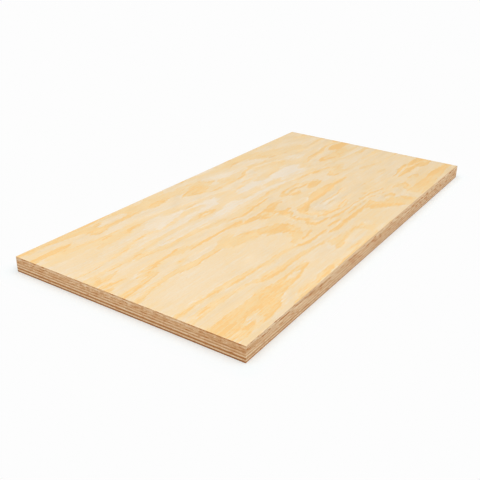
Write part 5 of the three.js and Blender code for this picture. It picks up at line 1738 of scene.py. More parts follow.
@dataclass(frozen=True)
class PaleFloor(Finish):
    """A plain pale floor that keeps the soft shadow beside the sheet and is near white away from it.

    Attributes:
        half_length: Half the length of what stands on it.
        half_width: Half the width of what stands on it.
        name: Material's name.
        plain: Colour that the floor has for light that bounces off it.
        shaded: Colour of the part of the floor that shadows dim, cool enough to undo the warm bounce
            off the wood.
        near_glow: Share of the floor's paleness that shadows don't dim, beside the sheet.
        reach: Distance from the sheet at which no shadow is left.
        paleness: Brightness that the camera sees away from shadows.
    """

    half_length: float
    half_width: float
    name: str = "pale_floor"
    plain: Colour = (0.86, 0.86, 0.86, 1.0)
    shaded: Colour = (0.930, 0.985, 1.0, 1.0)
    near_glow: float = 0.12
    reach: float = 28.0
    paleness: float = 0.982

    SEEN_BY = ("Is Camera Ray", "Is Glossy Ray", "Is Transmission Ray")

    def material(self) -> bpy.types.Material:
        """Make the floor's material.

        Returns:
            The material.
        """
        sheet = NodeSheet(self.name, roughness=1.0, specular=0.0)
        sheet.shader.inputs["Base Color"].default_value = self.plain
        rays = sheet.node("ShaderNodeLightPath")
        seen = rays.outputs[self.SEEN_BY[0]]
        for kind in self.SEEN_BY[1:]:
            seen = sheet.math("MAXIMUM", seen, rays.outputs[kind])
        matt = sheet.node("ShaderNodeBsdfDiffuse")
        matt.inputs["Color"].default_value = self.shaded
        light = sheet.node("ShaderNodeEmission")
        light.inputs["Color"].default_value = (self.paleness, self.paleness, self.paleness, 1.0)
        away = sheet.band(self._distance(sheet), 0.0, self.reach)
        glow = sheet.add(self.near_glow, sheet.times(away, 1 - self.near_glow))
        both = self._mixed(sheet, glow, matt.outputs["BSDF"], light.outputs["Emission"])
        shown = self._mixed(sheet, seen, sheet.shader.outputs["BSDF"], both)
        sheet.join(shown, sheet.nodes["Material Output"].inputs["Surface"])
        return sheet.material

    @staticmethod
    def _mixed(sheet: NodeSheet, share: Socket, first: Socket, second: Socket) -> Socket:
        """Mix two shaders.

        Args:
            sheet: Node tree to work in.
            share: How much of the second shader shows.
            first: First shader.
            second: Second shader.

        Returns:
            The mixed shader.
        """
        mix = sheet.node("ShaderNodeMixShader")
        for target, source in zip(mix.inputs, (share, first, second)):
            sheet.join(source, target)
        return mix.outputs["Shader"]

    def _distance(self, sheet: NodeSheet) -> Socket:
        """Give the distance from the sheet's outline, in millimetres.

        Args:
            sheet: Node tree to work in.

        Returns:
            The distance, 0 under the sheet.
        """
        beyond = []
        for axis, half in ((Axis.X, self.half_length), (Axis.Y, self.half_width)):
            size = sheet.math("ABSOLUTE", sheet.part(axis, sheet.place()))
            beyond.append(sheet.math("MAXIMUM", sheet.math("SUBTRACT", size, half), 0.0))
        return sheet.math("SQRT", sheet.add(*(sheet.times(side, side) for side in beyond)))


@dataclass(frozen=True)
class GlueLine:
    """The joint between two veneers, which wanders a little up and down.

    Attributes:
        height: Typical height above the sheet's underside.
        wander: How far the joint strays from that height.
        seed: Number that fixes its wandering.
        swell: How much higher it lies along the near short edge.
        sheet_end: Place of that edge along the sheet.
        swell_reach: Distance from that edge at which the swell is gone.
    """

    height: float
    wander: float = 0.0
    seed: int = 0
    swell: float = 0.0
    sheet_end: float = 0.0
    swell_reach: float = 40.0

    LONG_WAVES = (0.75, 43, 43, (9, 9))
    SHORT_WAVES = (0.25, 9, 9)

    def at(self, x: np.ndarray, y: np.ndarray) -> np.ndarray:
        """Give the joint's height round the edge.

        Args:
            x: Places along the sheet.
            y: Places across it.

        Returns:
            One height for each place.
        """
        waves = sum(Ripple(self.seed, *layer).at(x, y) for layer in (self.LONG_WAVES, self.SHORT_WAVES))
        swell = self.swell * smooth(1 - (x - self.sheet_end) / self.swell_reach)
        return self.height + self.wander * waves + swell


class Mark(Enum):
    """What a spot in a sawn edge is: a broken-out chip, or pale fibres that the saw left standing."""

    CHIP = 1
    TUFT = -1


@dataclass(frozen=True)
class Spot:
    """A small chip or tuft in a sawn edge.

    Attributes:
        edge: Edge that it is in.
        along: Its middle, along the edge.
        height: Its middle, above the underside.
        length: Length along the edge.
        tall: Height of the spot.
        mark: Whether it is a chip or a tuft.
        depth: Depth of a chip at its middle.
        firmness: How steeply it rises from its rim.
    """

    edge: Edge
    along: float
    height: float
    length: float
    tall: float
    mark: Mark = Mark.CHIP
    depth: float = 0.05
    firmness: float = 1.8

    def share(self, along: np.ndarray, height: np.ndarray) -> np.ndarray:
        """Say how deep each point of its edge lies in the spot.

        Args:
            along: Places along the edge.
            height: Heights above the underside.

        Returns:
            1 in the middle, 0 outside.
        """
        beside = (along - self.along) * 2 / self.length
        above = (height - self.height) * 2 / self.tall
        return smooth(self.firmness * (1 - (beside**2 + above**2)))


@dataclass(frozen=True)
class SpotRows:
    """Chips or tufts of one height, in rows along a sawn edge.

    Attributes:
        mark: Whether they are chips or tufts.
        tall: Height of a spot.
        rows: For each row a height above the underside, and the distances of its spots from the edge's
            start, each with the spot's length.
    """

    mark: Mark
    tall: float
    rows: tuple[SpotRow, ...]

    def spots(self, edge: Edge, start: float, step: int) -> list[Spot]:
        """Place the spots on an edge.

        Args:
            edge: Edge that they are in.
            start: Place of the edge's start.
            step: 1 where the distances run along the axis, -1 where they run against it.

        Returns:
            The spots.
        """
        return [
            Spot(edge, start + step * distance, height, length, self.tall, self.mark)
            for height, *row in self.rows
            for distance, length in row
        ]


# Chips and tufts in the near short edge, by distance from its left corner.
SHORT_EDGE_SPOTS = (
    SpotRows(Mark.CHIP, 0.9, (
        (18.1, (15, 10), (30, 6), (43, 6), (65, 8), (95, 8), (108, 5), (125, 6), (143, 8), (160, 9),
         (204, 8)),
        (18.0, (243, 10), (262, 30), (284, 12), (298, 8)),
    )),
    SpotRows(Mark.CHIP, 0.8, (
        (14.4, (13, 5), (26, 5), (83, 8), (108, 4), (142, 7), (162, 5), (175, 5)),
        (12.6, (12, 6), (24, 5), (110, 5)),
        (11.5, (36, 8), (61, 8), (98, 6), (113, 7), (135, 8), (154, 9), (168, 6), (185, 10), (198, 6)),
        (11.6, (217, 8), (238, 6), (260, 7), (293, 10)),
        (8.7, (36, 7), (121, 5), (137, 6), (148, 6), (197, 6)),
    )),
    SpotRows(Mark.TUFT, 1.0, (
        (15.0, (4, 7), (97, 5), (105, 4), (112, 4)),
        (13.5, (88, 8), (100, 4), (117, 4)),
        (16.6, (150, 9), (228, 14)),
    )),
)
# Chips and tufts in the near long edge, by distance from the near corner.
LONG_EDGE_SPOTS = (
    SpotRows(Mark.CHIP, 1.6, (
        (18.2, (21, 6), (52, 8), (57, 6), (87, 9)),
        (15.5, (40, 6), (67, 24), (96, 26), (111, 12), (125, 18)),
        (14.2, (2, 6), (30, 8)),
        (9.8, (62, 9), (84, 9)),
    )),
    SpotRows(Mark.CHIP, 2.0, (
        (15.0, (165, 9), (197, 12)),
        (14.4, (145, 8)),
        (10.5, (145, 9), (165, 8)),
        (15.7, (218, 12), (232, 22)),
        (11.5, (209, 8), (223, 10), (236, 10)),
        (8.1, (226, 16), (243, 14)),
    )),
    SpotRows(Mark.CHIP, 2.5, (
        (18.8, (338, 12), (357, 12)),
        (18.3, (526, 20), (546, 22), (573, 14), (586, 10)),
        (17.6, (286, 8)),
        (15.7, (387, 7), (398, 9), (415, 8), (450, 9), (469, 12)),
        (14.8, (265, 8), (280, 8), (302, 7)),
        (11.2, (290, 12), (304, 8)),
        (10.9, (334, 9), (375, 9), (398, 14), (409, 8), (430, 12), (446, 13), (466, 18), (507, 10)),
        (10.2, (531, 10)),
        (8.6, (558, 16), (593, 10)),
    )),
    SpotRows(Mark.TUFT, 1.7, (
        (18.0, (145, 14), (161, 12)),
        (17.0, (43, 16), (272, 12)),
        (16.2, (253, 12), (293, 12), (353, 18), (537, 24)),
        (14.1, (98, 22)),
        (13.4, (61, 10), (243, 16)),
        (12.8, (307, 8), (417, 12), (457, 18)),
    )),
)
# Soft patches of tone on the near long edge: distance from the near corner, height, reach, spread and
# change of tone.
LONG_EDGE_TONE_PATCHES = (
    (260, 4, 150, 5, -0.1), (570, 5, 60, 4, -0.11), (15, 13, 20, 1.6, 0.12),
    (45, 16.5, 14, 1.1, -0.08), (100, 5.4, 45, 0.8, 0.05), (335, 16, 45, 2, 0.05),
    (440, 16, 45, 2, 0.06), (490, 18, 30, 1.4, 0.08), (535, 14.5, 30, 1.6, 0.05),
    (385, 13, 24, 1.1, -0.1), (480, 12.8, 30, 1.1, -0.1), (360, 10.8, 30, 1.2, 0.04),
    (230, 11.2, 20, 1.4, 0.05), (295, 11, 12, 1.4, 0.06), (440, 11, 45, 1.2, 0.06),
)


@dataclass
class SawnSheet:
    """The outline that every veneer is sawn to, in one cut with its neighbours.

    Attributes:
        length: Length along X.
        width: Width along Y.
        blade_depth: Depth of the saw blade's marks, and of the saw's wander.
        blade_pitch: Distance between the marks.
        blade_lean: Height over which a mark leans by one pitch.
        reach: Distance from the outline within which a point is on an edge.
        teeth: Unevenness of the marks, over pitches and over heights.
        wander: Wander of the saw, over distances and over heights.
    """

    length: float
    width: float
    blade_depth: float = 0.03
    blade_pitch: float = 2.2
    blade_lean: float = 40.0
    reach: float = 0.25
    teeth: Ripple = Ripple(72, 0.5, 1, 30, (0, 3))
    wander: Ripple = Ripple(71, 0.5, 35, 60)

    def __post_init__(self) -> None:
        """Place the chips and the tufts."""
        self._spots: list[Spot] = []
        for rows in SHORT_EDGE_SPOTS:
            self._spots.extend(rows.spots(Edge.SHORT_NEAR, self.width / 2, -1))
        for rows in LONG_EDGE_SPOTS:
            self._spots.extend(rows.spots(Edge.LONG_NEAR, -self.length / 2, 1))

    def inset(self, distance: float) -> Point:
        """Give the factors that bring the outline in by a distance all round."""
        return (1 - 2 * distance / self.length, 1 - 2 * distance / self.width, 1)

    def edge_masks(self, x: np.ndarray, y: np.ndarray) -> dict[Edge, np.ndarray]:
        """Sort points by the edge that they are on.

        Args:
            x: Places along the sheet.
            y: Places across it.

        Returns:
            For each edge, whether each point is on it.
        """
        on_end = np.abs(x) > self.length / 2 - self.reach
        on_side = np.abs(y) > self.width / 2 - self.reach
        return {
            edge: (on_end if edge.is_short else on_side & ~on_end)
            & (np.sign(x if edge.is_short else y) == edge.side)
            for edge in Edge
        }

    def cut(self, points: np.ndarray, groove: np.ndarray) -> tuple[np.ndarray, np.ndarray]:
        """Press saw marks, chips and joints into the sawn edges.

        Args:
            points: Vertices as rows of x, y and z.
            groove: How deep each vertex lies in a joint's groove.

        Returns:
            The cut vertices, and how far each lies in a chip, or in a tuft where negative.
        """
        x, y, z = points.T
        moved, marked = points.copy(), np.zeros(len(points))
        for edge, mask in self.edge_masks(x, y).items():
            along = (y if edge.is_short else x)[mask]
            height = z[mask]
            lean = along / self.blade_pitch + height / self.blade_lean
            marks = self.blade_depth * (1 + self.teeth.at(lean, height) + self.wander.at(along, height))
            depth, shown = np.zeros(len(along)), np.zeros(len(along))
            for spot in self._spots:
                if spot.edge is edge:
                    share = spot.share(along, height)
                    if spot.mark is Mark.CHIP:
                        depth = np.maximum(depth, spot.depth * share)
                    shown = np.where(share > np.abs(shown), spot.mark.value * share, shown)
            marked[mask] = shown
            moved[mask, edge.column] -= edge.side * (marks + depth + groove[mask])
        return moved, marked

    def tone_patches(self, points: np.ndarray) -> np.ndarray:
        """Add up the soft patches of tone on the near long edge.

        Args:
            points: Vertices as rows of x, y and z.

        Returns:
            Each vertex's change of tone, 0 off that edge.
        """
        x, y, z = points.T
        total = np.zeros(len(points))
        for distance, height, reach, spread, change in LONG_EDGE_TONE_PATCHES:
            away = ((x + self.length / 2 - distance) / reach) ** 2 + ((z - height) / spread) ** 2
            total += change * np.exp(-away)
        return np.where(self.edge_masks(x, y)[Edge.LONG_NEAR], total, 0.0)


def raise_rim(bm: bmesh.types.BMesh, rim: Rim, lift: float, spread: Point = (1, 1, 1)) -> Rim:
    """Extrude a closed rim of edges up and out.

    Args:
        bm: Mesh to work in.
        rim: Edges of the rim.
        lift: Rise in height.
        spread: Factors that the new rim is scaled by.

    Returns:
        The edges of the new rim.
    """
    made = bmesh.ops.extrude_edge_only(bm, edges=rim)["geom"]
    corners = [item for item in made if isinstance(item, bmesh.types.BMVert)]
    known = set(corners)
    bmesh.ops.scale(bm, vec=spread, verts=corners)
    bmesh.ops.translate(bm, vec=(0, 0, lift), verts=corners)
    edges = [item for item in made if isinstance(item, bmesh.types.BMEdge)]
    return [edge for edge in edges if edge.verts[0] in known and edge.verts[1] in known]


def close_rim(bm: bmesh.types.BMesh, rim: Rim, lift: float, inward: Point) -> None:
    """Close a rim with a narrow sloping strip and a flat cap.

    Args:
        bm: Mesh to work in.
        rim: Edges of the rim.
        lift: Change in height over the strip.
        inward: Factors that bring the cap in from the rim.
    """
    cap = raise_rim(bm, rim, lift, inward)
    bmesh.ops.contextual_create(bm, geom=cap)


def places(bm: bmesh.types.BMesh) -> np.ndarray:
    """Read a mesh's vertices as rows of x, y and z."""
    return np.array([vertex.co[:] for vertex in bm.verts])


def settle(
    name: str, bm: bmesh.types.BMesh, numbers: dict[str, np.ndarray], points: np.ndarray
) -> bpy.types.Object:
    """Turn a mesh under work into a finished object, in metres.

    Args:
        name: Object's name.
        bm: Mesh whose faces are kept.
        numbers: Numbers that the vertices carry, by name.
        points: Vertices' final places in millimetres.

    Returns:
        The object, linked to the scene.
    """
    for vertex, place in zip(bm.verts, points * MM):
        vertex.co = place
    bmesh.ops.recalc_face_normals(bm, faces=bm.faces)
    mesh = bpy.data.meshes.new(name)
    bm.to_mesh(mesh)
    bm.free()
    for label, values in numbers.items():
        layer = mesh.attributes.new(label, "FLOAT", "POINT")
        layer.data.foreach_set("value", values.astype(np.float32))
    mesh.update()
    piece = bpy.data.objects.new(name, mesh)
    bpy.context.scene.collection.objects.link(piece)
    return piece


@dataclass(frozen=True)
class EdgeLook:
    """How a veneer's sawn edges look.

    Attributes:
        short: Tone on the short edges, and what it gains towards the near corner.
        long: Tone on the long edges, and what it gains away from that corner.
        mottle: How blotchy all of them are.
    """

    short: Pair
    long: Pair
    mottle: float


@dataclass
class Veneer(ABC):
    """One peeled sheet of wood between two joints.

    Attributes:
        node: Name of the solid that it stands for.
        slot: Record's material slot; not used.
        grain: Which way its fibres run.
        lower: Joint under it, or the underside.
        upper: Joint over it, or the top face.
        saw: Outline that it is sawn to.
        look: How its sawn edges look.
        shoulder: Height of the row of faces that dips into a joint.
        groove: Depth of that dip.
        gap: Clearance to the next veneer.
        ledge: Width of the wandering strip before its flat inside.

    The constants are how far above or below the rim the flat inside is drawn before it is put in its
    place, as a share of the thickness, how near to a joint a vertex is to be part of its groove, and how
    level a face is to count as one that looks up or down.
    """

    node: str
    slot: str
    grain: Grain
    lower: GlueLine
    upper: GlueLine
    saw: SawnSheet
    look: EdgeLook
    shoulder: float = 0.16
    groove: float = 0.06
    gap: float = 0.03
    ledge: float = 4.0

    CAP_RISE = 1.0
    AT_JOINT = 0.01
    LEVEL = 0.6

    @abstractmethod
    def build(self) -> bpy.types.Object:
        """Model the veneer and dress it."""

    @property
    def thickness(self) -> float:
        """Typical thickness between the two joints."""
        return self.upper.height - self.lower.height

    def edge_finishes(self) -> tuple[SawnEdge, SawnEdge]:
        """Give the finishes of the veneer's sawn edges.

        Returns:
            The finish of its short edges and that of its long ones.
        """
        fibres = (CUT_FIBRES, LYING_FIBRES) if self.grain is Grain.ALONG else (LYING_FIBRES, CUT_FIBRES)
        look = self.look
        return (
            SawnEdge(f"{self.node}_short_edge", SHORT_SIDE, fibres[0], *look.short, look.mottle),
            SawnEdge(f"{self.node}_long_edge", LONG_SIDE, fibres[1], *look.long, look.mottle),
        )

    def finish_piece(
        self, bm: bmesh.types.BMesh, points: np.ndarray, numbers: dict[str, np.ndarray],
        finishes: Sequence[Finish], level: int,
    ) -> bpy.types.Object:
        """Saw the veneer's edges, settle its mesh and give each face its finish by the way it looks.

        Args:
            bm: Mesh whose faces are kept.
            points: Vertices' places before the saw.
            numbers: Numbers that the vertices carry, with how far each is at a joint as glue.
            finishes: Finishes of the short edges, the long edges and, where it has one, the face.
            level: Index of the finish on faces that look up or down.

        Returns:
            The finished piece.
        """
        cut, marked = self.saw.cut(points, self.groove * numbers["glue"])
        numbers = {**numbers, "mark": marked, "tone_patches": self.saw.tone_patches(points)}
        piece = settle(f"{self.node}_wood", bm, numbers, cut)
        for finish in finishes:
            piece.data.materials.append(finish.material())
        count = len(piece.data.polygons)
        normals = np.empty(count * 3, np.float32)
        piece.data.polygons.foreach_get("normal", normals)
        along, across, up = np.abs(normals.reshape(-1, 3)).T
        index = np.where(up > self.LEVEL, level, np.where(along > across, 0, 1))
        piece.data.polygons.foreach_set("material_index", index.astype(np.int32))
        piece.data.polygons.foreach_set("use_smooth", np.ones(count, bool))
        piece.data.update()
        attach(piece, BODY)
        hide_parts(self.node)
        LOG.info("%s: %d faces, stands for %s", piece.name, count, self.node)
        return piece


@dataclass
class InnerPly(Veneer):
    """A veneer inside the sheet, seen only at its sawn edges.

    Attributes:
        cut_length: Length of the steps round its edge.
        rows: Shares of the thickness at which the edge's middle rows lie.
    """

    cut_length: float = 1.2
    rows: tuple[float, ...] = (0.3, 0.5, 0.7)

    def build(self) -> bpy.types.Object:
        """Model the ply as a closed slab with a finely stepped edge.

        Returns:
            The finished piece.
        """
        bm = bmesh.new()
        bmesh.ops.create_grid(bm, x_segments=1, y_segments=1, size=0.5)
        bmesh.ops.scale(bm, vec=(self.saw.length, self.saw.width, 1), verts=bm.verts)
        bmesh.ops.delete(bm, geom=bm.faces[:], context="FACES_ONLY")
        for edge in bm.edges[:]:
            cuts = round(edge.calc_length() / self.cut_length) - 1
            bmesh.ops.subdivide_edges(bm, edges=[edge], cuts=cuts)
        rim = bm.edges[:]
        inward = self.saw.inset(self.ledge)
        close_rim(bm, rim, -self.CAP_RISE, inward)
        lip = self.shoulder / self.thickness
        level = 0.0
        for share in (lip, *self.rows, 1 - lip, 1.0):
            rim = raise_rim(bm, rim, share - level)
            level = share
        close_rim(bm, rim, self.CAP_RISE, inward)
        points = places(bm)
        x, y, share = points.T.copy()
        bottom, top = self.lower.at(x, y) + self.gap / 2, self.upper.at(x, y) - self.gap / 2
        points[:, 2] = bottom + share * (top - bottom)
        points[share < -self.CAP_RISE / 2, 2] = self.lower.height + self.gap
        points[share > 1 + self.CAP_RISE / 2, 2] = self.upper.height - self.gap
        glue = np.where(np.abs(share - 0.5) > 0.5 - self.AT_JOINT, 1.0, 0.0)
        return self.finish_piece(bm, points, {"glue": glue}, self.edge_finishes(), level=0)


@dataclass(kw_only=True)
class OuterVeneer(Veneer):
    """A face or back veneer, with its figure, its raised grain and an eased arris.

    Attributes:
        figure: Growth-ring figure on it.
        faces_up: Whether its shown face looks up.
        finish: Finish of the shown face.
        cell_along: Length of the face's cells.
        cell_across: Width of the face's cells.
        arris: Radius of the eased arris.
        arris_steps: Facets that the arris is made of.
        rows: Shares of the thickness at which the edge's middle rows lie, from the shown face.
        relief: How far early wood lies below late wood.
        relief_depth: Share of the thickness over which that shows.
        rim_highlight: How much paler the arris is painted, a painted highlight where the eased arris
            catches the light.
        highlight_width: Width of the strip of painted highlight along the arris.
        worn_width: Widest that the near long arris is rubbed through.
        line_width: Distance between two fine ring lines.
        line_bend: How far a full change of tone moves them.
        line_reach: How far along the grain the tone is blended for that.

    The constants are the share of the length by which the rubbing is at its widest, by how much it
    narrows again, the share after which it does, and the least width that shows.
    """

    figure: Figure
    faces_up: bool
    finish: PlanedPine
    cell_along: float = 2.6
    cell_across: float = 0.86
    arris: float = 0.4
    arris_steps: int = 3
    rows: tuple[float, ...] = (0.4, 0.6)
    relief: float = 0.05
    relief_depth: float = 0.3
    rim_highlight: float = 0.04
    highlight_width: float = 1.0
    worn_width: float = 0.0
    line_width: float = 1.5
    line_bend: float = 9.0
    line_reach: float = 7.0

    WORN_BY = 0.5
    NARROWING = 0.25
    NARROWS_AFTER = 0.6
    LEAST_WORN = 0.05

    def build(self) -> bpy.types.Object:
        """Model the veneer from its shown face downwards.

        Returns:
            The finished piece.
        """
        bm = bmesh.new()
        self._raise_face(bm)
        points = places(bm)
        x, y, drop = points.T.copy()
        rim = np.minimum(self.saw.length / 2 - np.abs(x), self.saw.width / 2 - np.abs(y))
        # Pale the tone along the arris: a painted highlight where the eased arris catches the light.
        tone = self.figure.tones(x, y) - self.rim_highlight * smooth(1 - rim / self.highlight_width)
        joint, outer = (self.lower, self.upper) if self.faces_up else (self.upper, self.lower)
        inside = -1 if self.faces_up else 1
        inner = joint.at(x, y) - inside * self.gap / 2
        share = -drop / self.thickness
        sunk = self.relief * (1 - np.clip(tone, 0, 1)) * (share < self.relief_depth)
        points[:, 2] = outer.height + (inner - outer.height) * share + inside * sunk
        points[share > 1 + self.CAP_RISE / 2, 2] = joint.height - inside * self.gap
        numbers = {
            # The figure's tone, with the painted highlight along the arris.
            "late_wood_and_rim_highlight": tone,
            "shading": self.figure.shadings(x, y),
            "ragged": self.figure.edges(x, y),
            "flow": self._flow(x, y, tone),
            "worn": self._worn(x, y),
            "glue": np.where(share > 1 - self.AT_JOINT, 1.0, 0.0),
        }
        return self.finish_piece(bm, points, numbers, (*self.edge_finishes(), self.finish), level=2)

    def _raise_face(self, bm: bmesh.types.BMesh) -> None:
        """Model the face, its arris and its edge, lying face up at the level of the face.

        Args:
            bm: Empty mesh to work in.
        """
        length, width = self.saw.length - 2 * self.arris, self.saw.width - 2 * self.arris
        columns, rows = round(length / self.cell_along), round(width / self.cell_across)
        bmesh.ops.create_grid(bm, x_segments=columns, y_segments=rows, size=0.5)
        bmesh.ops.scale(bm, vec=(length, width, 1), verts=bm.verts)
        rim = [edge for edge in bm.edges if edge.is_boundary]
        sides = np.array((length, width))
        down = 0.0
        for step in range(1, self.arris_steps + 1):
            angle = math.radians(90) * step / self.arris_steps
            next_sides = np.array((length, width)) + 2 * self.arris * math.sin(angle)
            next_down = self.arris * (1 - math.cos(angle))
            rim = raise_rim(bm, rim, down - next_down, (*(next_sides / sides), 1))
            sides, down = next_sides, next_down
        for share in (*self.rows, 1 - self.shoulder / self.thickness, 1.0):
            rim = raise_rim(bm, rim, down - share * self.thickness)
            down = share * self.thickness
        close_rim(bm, rim, -self.CAP_RISE * self.thickness, self.saw.inset(self.ledge))

    def _worn(self, x: np.ndarray, y: np.ndarray) -> np.ndarray:
        """Say where the near long arris is rubbed through, more so away from the near corner.

        Args:
            x: Places along the veneer.
            y: Places across it.

        Returns:
            1 where it is rubbed through, 0 where it isn't.
        """
        share = x / self.saw.length + 0.5
        narrowing = self.NARROWING * smooth((share - self.NARROWS_AFTER) / (1 - self.NARROWS_AFTER))
        width = self.worn_width * smooth(share / self.WORN_BY) * (1 - narrowing)
        inside = (width - (y + self.saw.width / 2)) / self.cell_across
        return np.clip(inside + 0.5, 0, 1) * (width > self.LEAST_WORN)

    def _flow(self, x: np.ndarray, y: np.ndarray, tone: np.ndarray) -> np.ndarray:
        """Give a coordinate across the fine ring lines, which bend round the figure.

        Args:
            x: Places along the veneer.
            y: Places across it.
            tone: Figure's tone there.

        Returns:
            The coordinate, one unit to a line.
        """
        beside = self.figure.tones(x - self.line_reach, y) + self.figure.tones(x + self.line_reach, y)
        return (y + self.line_bend * (beside + 2 * tone) / 4) / self.line_width


@dataclass
class PlywoodSheet:
    """The whole sheet: eleven veneers glued crosswise and sawn to one outline.

    Attributes:
        length: Length along the face grain.
        width: Width across it.
        thickness: Height of the sheet.
        joint_wander: How far the joints stray inside the sheet.
        joint_seed: Number that fixes the lowest joint's wandering, the first of a row of them.
        worn_width: Widest that the face's near long arris is rubbed through.
        back_cell: Length and width of the back's cells, coarser than the face's.

    The constants are the looks of the inner plies and of the back and the face, and how much higher each
    joint lies along the near short edge, all from the bottom up.
    """

    length: float
    width: float
    thickness: float
    joint_wander: float = 0.11
    joint_seed: int = 20
    worn_width: float = 1.9
    back_cell: Pair = (5.0, 1.7)

    INNER_LOOKS = (
        ("crossband_1", EdgeLook((0.17, 0.0), (0.12, -0.14), 0.1)),
        ("long_core_1", EdgeLook((0.76, 0.04), (0.54, 0.14), 0.1)),
        ("crossband_2", EdgeLook((0.13, 0.06), (0.08, -0.12), 0.1)),
        ("long_core_2", EdgeLook((0.58, 0.0), (0.36, 0.20), 0.2)),
        ("crossband_3", EdgeLook((0.22, 0.05), (0.16, -0.10), 0.4)),
        ("long_core_3", EdgeLook((0.50, 0.10), (0.26, 0.06), 0.6)),
        ("crossband_4", EdgeLook((0.32, 0.10), (0.24, -0.04), 0.8)),
        ("long_core_4", EdgeLook((0.42, 0.08), (0.24, 0.02), 0.9)),
        ("crossband_5", EdgeLook((0.20, 0.14), (0.14, -0.02), 0.8)),
    )
    BACK_LOOK = EdgeLook((0.92, 0.04), (0.66, 0.1), 0.1)
    FACE_LOOK = EdgeLook((0.38, 0.18), (0.16, -0.06), 0.6)
    SWELLS = (0.0, 0.1, 0.42, 0.5, 0.3, 0.2, 0.0, 0.0, 0.0, 0.0)

    def build(self) -> None:
        """Build every veneer from the back to the face."""
        saw = SawnSheet(self.length, self.width)
        joints = self._joints()
        back = OuterVeneer(
            "back_veneer", "pine_back", Grain.ALONG, joints[0], joints[1], saw, self.BACK_LOOK,
            figure=RingFigure(), faces_up=False, finish=PlanedPine("back_pine", self.length),
            cell_along=self.back_cell[0], cell_across=self.back_cell[1],
        )
        back.build()
        for (node, look), lower, upper in zip(self.INNER_LOOKS, joints[1:], joints[2:]):
            if node.startswith("crossband"):
                ply = InnerPly(node, "crossband_veneer", Grain.ACROSS, lower, upper, saw, look)
            else:
                ply = InnerPly(node, "long_core_veneer", Grain.ALONG, lower, upper, saw, look)
            ply.build()
        figure = PaintedFigure(STREAKS, WASHES, SHADES, self.length, self.width)
        face = OuterVeneer(
            "face_veneer", "pine_face", Grain.ALONG, joints[-2], joints[-1], saw, self.FACE_LOOK,
            figure=figure, faces_up=True, finish=PlanedPine("face_pine", self.length),
            worn_width=self.worn_width,
        )
        face.build()

    def _joints(self) -> list[GlueLine]:
        """Place a joint midway between each pair of solids.

        Returns:
            The underside, the joints and the top face, in order of height.
        """
        nodes = ("back_veneer", *(name for name, _ in self.INNER_LOOKS), "face_veneer")
        boxes = [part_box(node) for node in nodes]
        joints = [GlueLine(0.0)]
        for index, (below, above) in enumerate(zip(boxes, boxes[1:])):
            middle = (below[1][2] + above[0][2]) / 2 / MM
            seed, swell = self.joint_seed + index, self.SWELLS[index]
            joints.append(GlueLine(middle, self.joint_wander, seed, swell, -self.length / 2))
        return [*joints, GlueLine(self.thickness)]


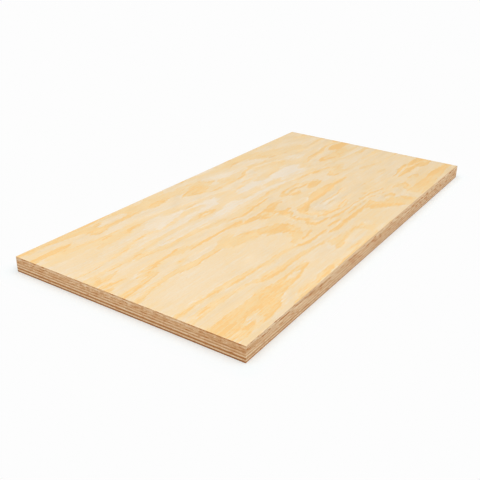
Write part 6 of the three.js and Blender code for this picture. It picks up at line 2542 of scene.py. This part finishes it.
@dataclass
class Studio:
    """A pale floor, soft light and the camera.

    Attributes:
        sheet_half_length: Half the sheet's length, in millimetres.
        sheet_half_width: Half the sheet's width, in millimetres.
        floor_half: Half the floor's side, in metres.
        floor_drop: How far the floor lies under the sheet, in metres.
        sky: Brightness of the even light from all round.
        backdrop: Brightness of the sky as the camera sees it.
        lamp_angle: Apparent size of the large lamp, in degrees.
        lamp_tilt: Tilt of the lamp off the vertical, in degrees.
        lamp_turn: Turn of the lamp about the vertical, in degrees.
        camera_place: Camera's place, in metres.
        camera_turn: Camera's rotation, in degrees.
        camera_lens: Focal length, in millimetres.
        camera_frame: Width of the frame that the focal length is for, in millimetres.
        camera_shift: Shifts of the frame, sideways and up.
        camera_range: Nearest and farthest distance that the camera sees, in metres.
    """

    sheet_half_length: float
    sheet_half_width: float
    floor_half: float = 9.0
    floor_drop: float = 0.00005
    sky: float = 0.38
    backdrop: float = 0.982
    lamp_angle: float = 95.0
    lamp_tilt: float = 20.0
    lamp_turn: float = 225.0
    camera_place: Point = (-0.7296, -0.4262, 0.3655)
    camera_turn: Point = (64.473, -1.948, -58.232)
    camera_lens: float = 50.675
    camera_frame: float = 36.0
    camera_shift: Pair = (-0.06133, 0.00104)
    camera_range: Pair = (0.01, 50.0)

    def build(self) -> None:
        """Set up the floor, the light and the camera."""
        self._lay_floor()
        self._light()
        self._place_camera()

    def _lay_floor(self) -> None:
        """Lay the floor just under the sheet."""
        bm = bmesh.new()
        bmesh.ops.create_grid(bm, x_segments=1, y_segments=1, size=self.floor_half)
        bmesh.ops.translate(bm, vec=(0, 0, -self.floor_drop), verts=bm.verts)
        mesh = bpy.data.meshes.new("studio_floor")
        bm.to_mesh(mesh)
        bm.free()
        floor = bpy.data.objects.new("studio_floor", mesh)
        floor.data.materials.append(PaleFloor(self.sheet_half_length, self.sheet_half_width).material())
        bpy.context.scene.collection.objects.link(floor)
        LOG.info("studio_floor: %.0f m across", self.floor_half * 2)

    def _light(self) -> None:
        """Share a level of 1 on flat surfaces between the sky and one large lamp."""
        bpy.context.scene.world = self._sky()
        lamp = bpy.data.lights.new("large_lamp", "SUN")
        lamp.angle = math.radians(self.lamp_angle)
        tilt = math.radians(self.lamp_tilt)
        lamp.energy = (1 - self.sky) * math.pi / math.cos(tilt)
        holder = bpy.data.objects.new("large_lamp", lamp)
        holder.rotation_euler = Euler((0.0, tilt, math.radians(self.lamp_turn)))
        bpy.context.scene.collection.objects.link(holder)
        LOG.info("large_lamp: %.2f over a sky of %.2f", lamp.energy, self.sky)

    def _sky(self) -> bpy.types.World:
        """Make an even sky that looks as pale as the floor wherever the floor ends.

        Returns:
            The world.
        """
        world = bpy.data.worlds.new("soft_sky")
        world.use_nodes = True
        nodes, links = world.node_tree.nodes, world.node_tree.links
        background = nodes["Background"]
        background.inputs["Color"].default_value = (1.0, 1.0, 1.0, 1.0)
        strength = nodes.new("ShaderNodeMath")
        strength.operation = "MULTIPLY_ADD"
        links.new(nodes.new("ShaderNodeLightPath").outputs["Is Camera Ray"], strength.inputs[0])
        strength.inputs[1].default_value = self.backdrop - self.sky
        strength.inputs[2].default_value = self.sky
        links.new(strength.outputs[0], background.inputs["Strength"])
        return world

    def _place_camera(self) -> None:
        """Place the camera."""
        camera = bpy.data.cameras.new("camera")
        camera.lens = self.camera_lens
        camera.sensor_width = self.camera_frame
        camera.shift_x, camera.shift_y = self.camera_shift
        camera.clip_start, camera.clip_end = self.camera_range
        holder = bpy.data.objects.new("camera", camera)
        holder.location = Vector(self.camera_place)
        holder.rotation_euler = Euler([math.radians(turn) for turn in self.camera_turn])
        bpy.context.scene.collection.objects.link(holder)
        bpy.context.scene.camera = holder
        LOG.info("camera: %.1f mm lens", camera.lens)


def main() -> None:
    """Build the sheet and the studio."""
    bpy.context.scene.view_settings.view_transform = "Standard"
    logging.basicConfig(level=logging.INFO, format="%(message)s")
    low, high = CAD_BOX
    length, width, thickness = ((top - bottom) / MM for bottom, top in zip(low, high))
    PlywoodSheet(length, width, thickness).build()
    Studio(length / 2, width / 2).build()


if __name__ == "__main__":
    main()
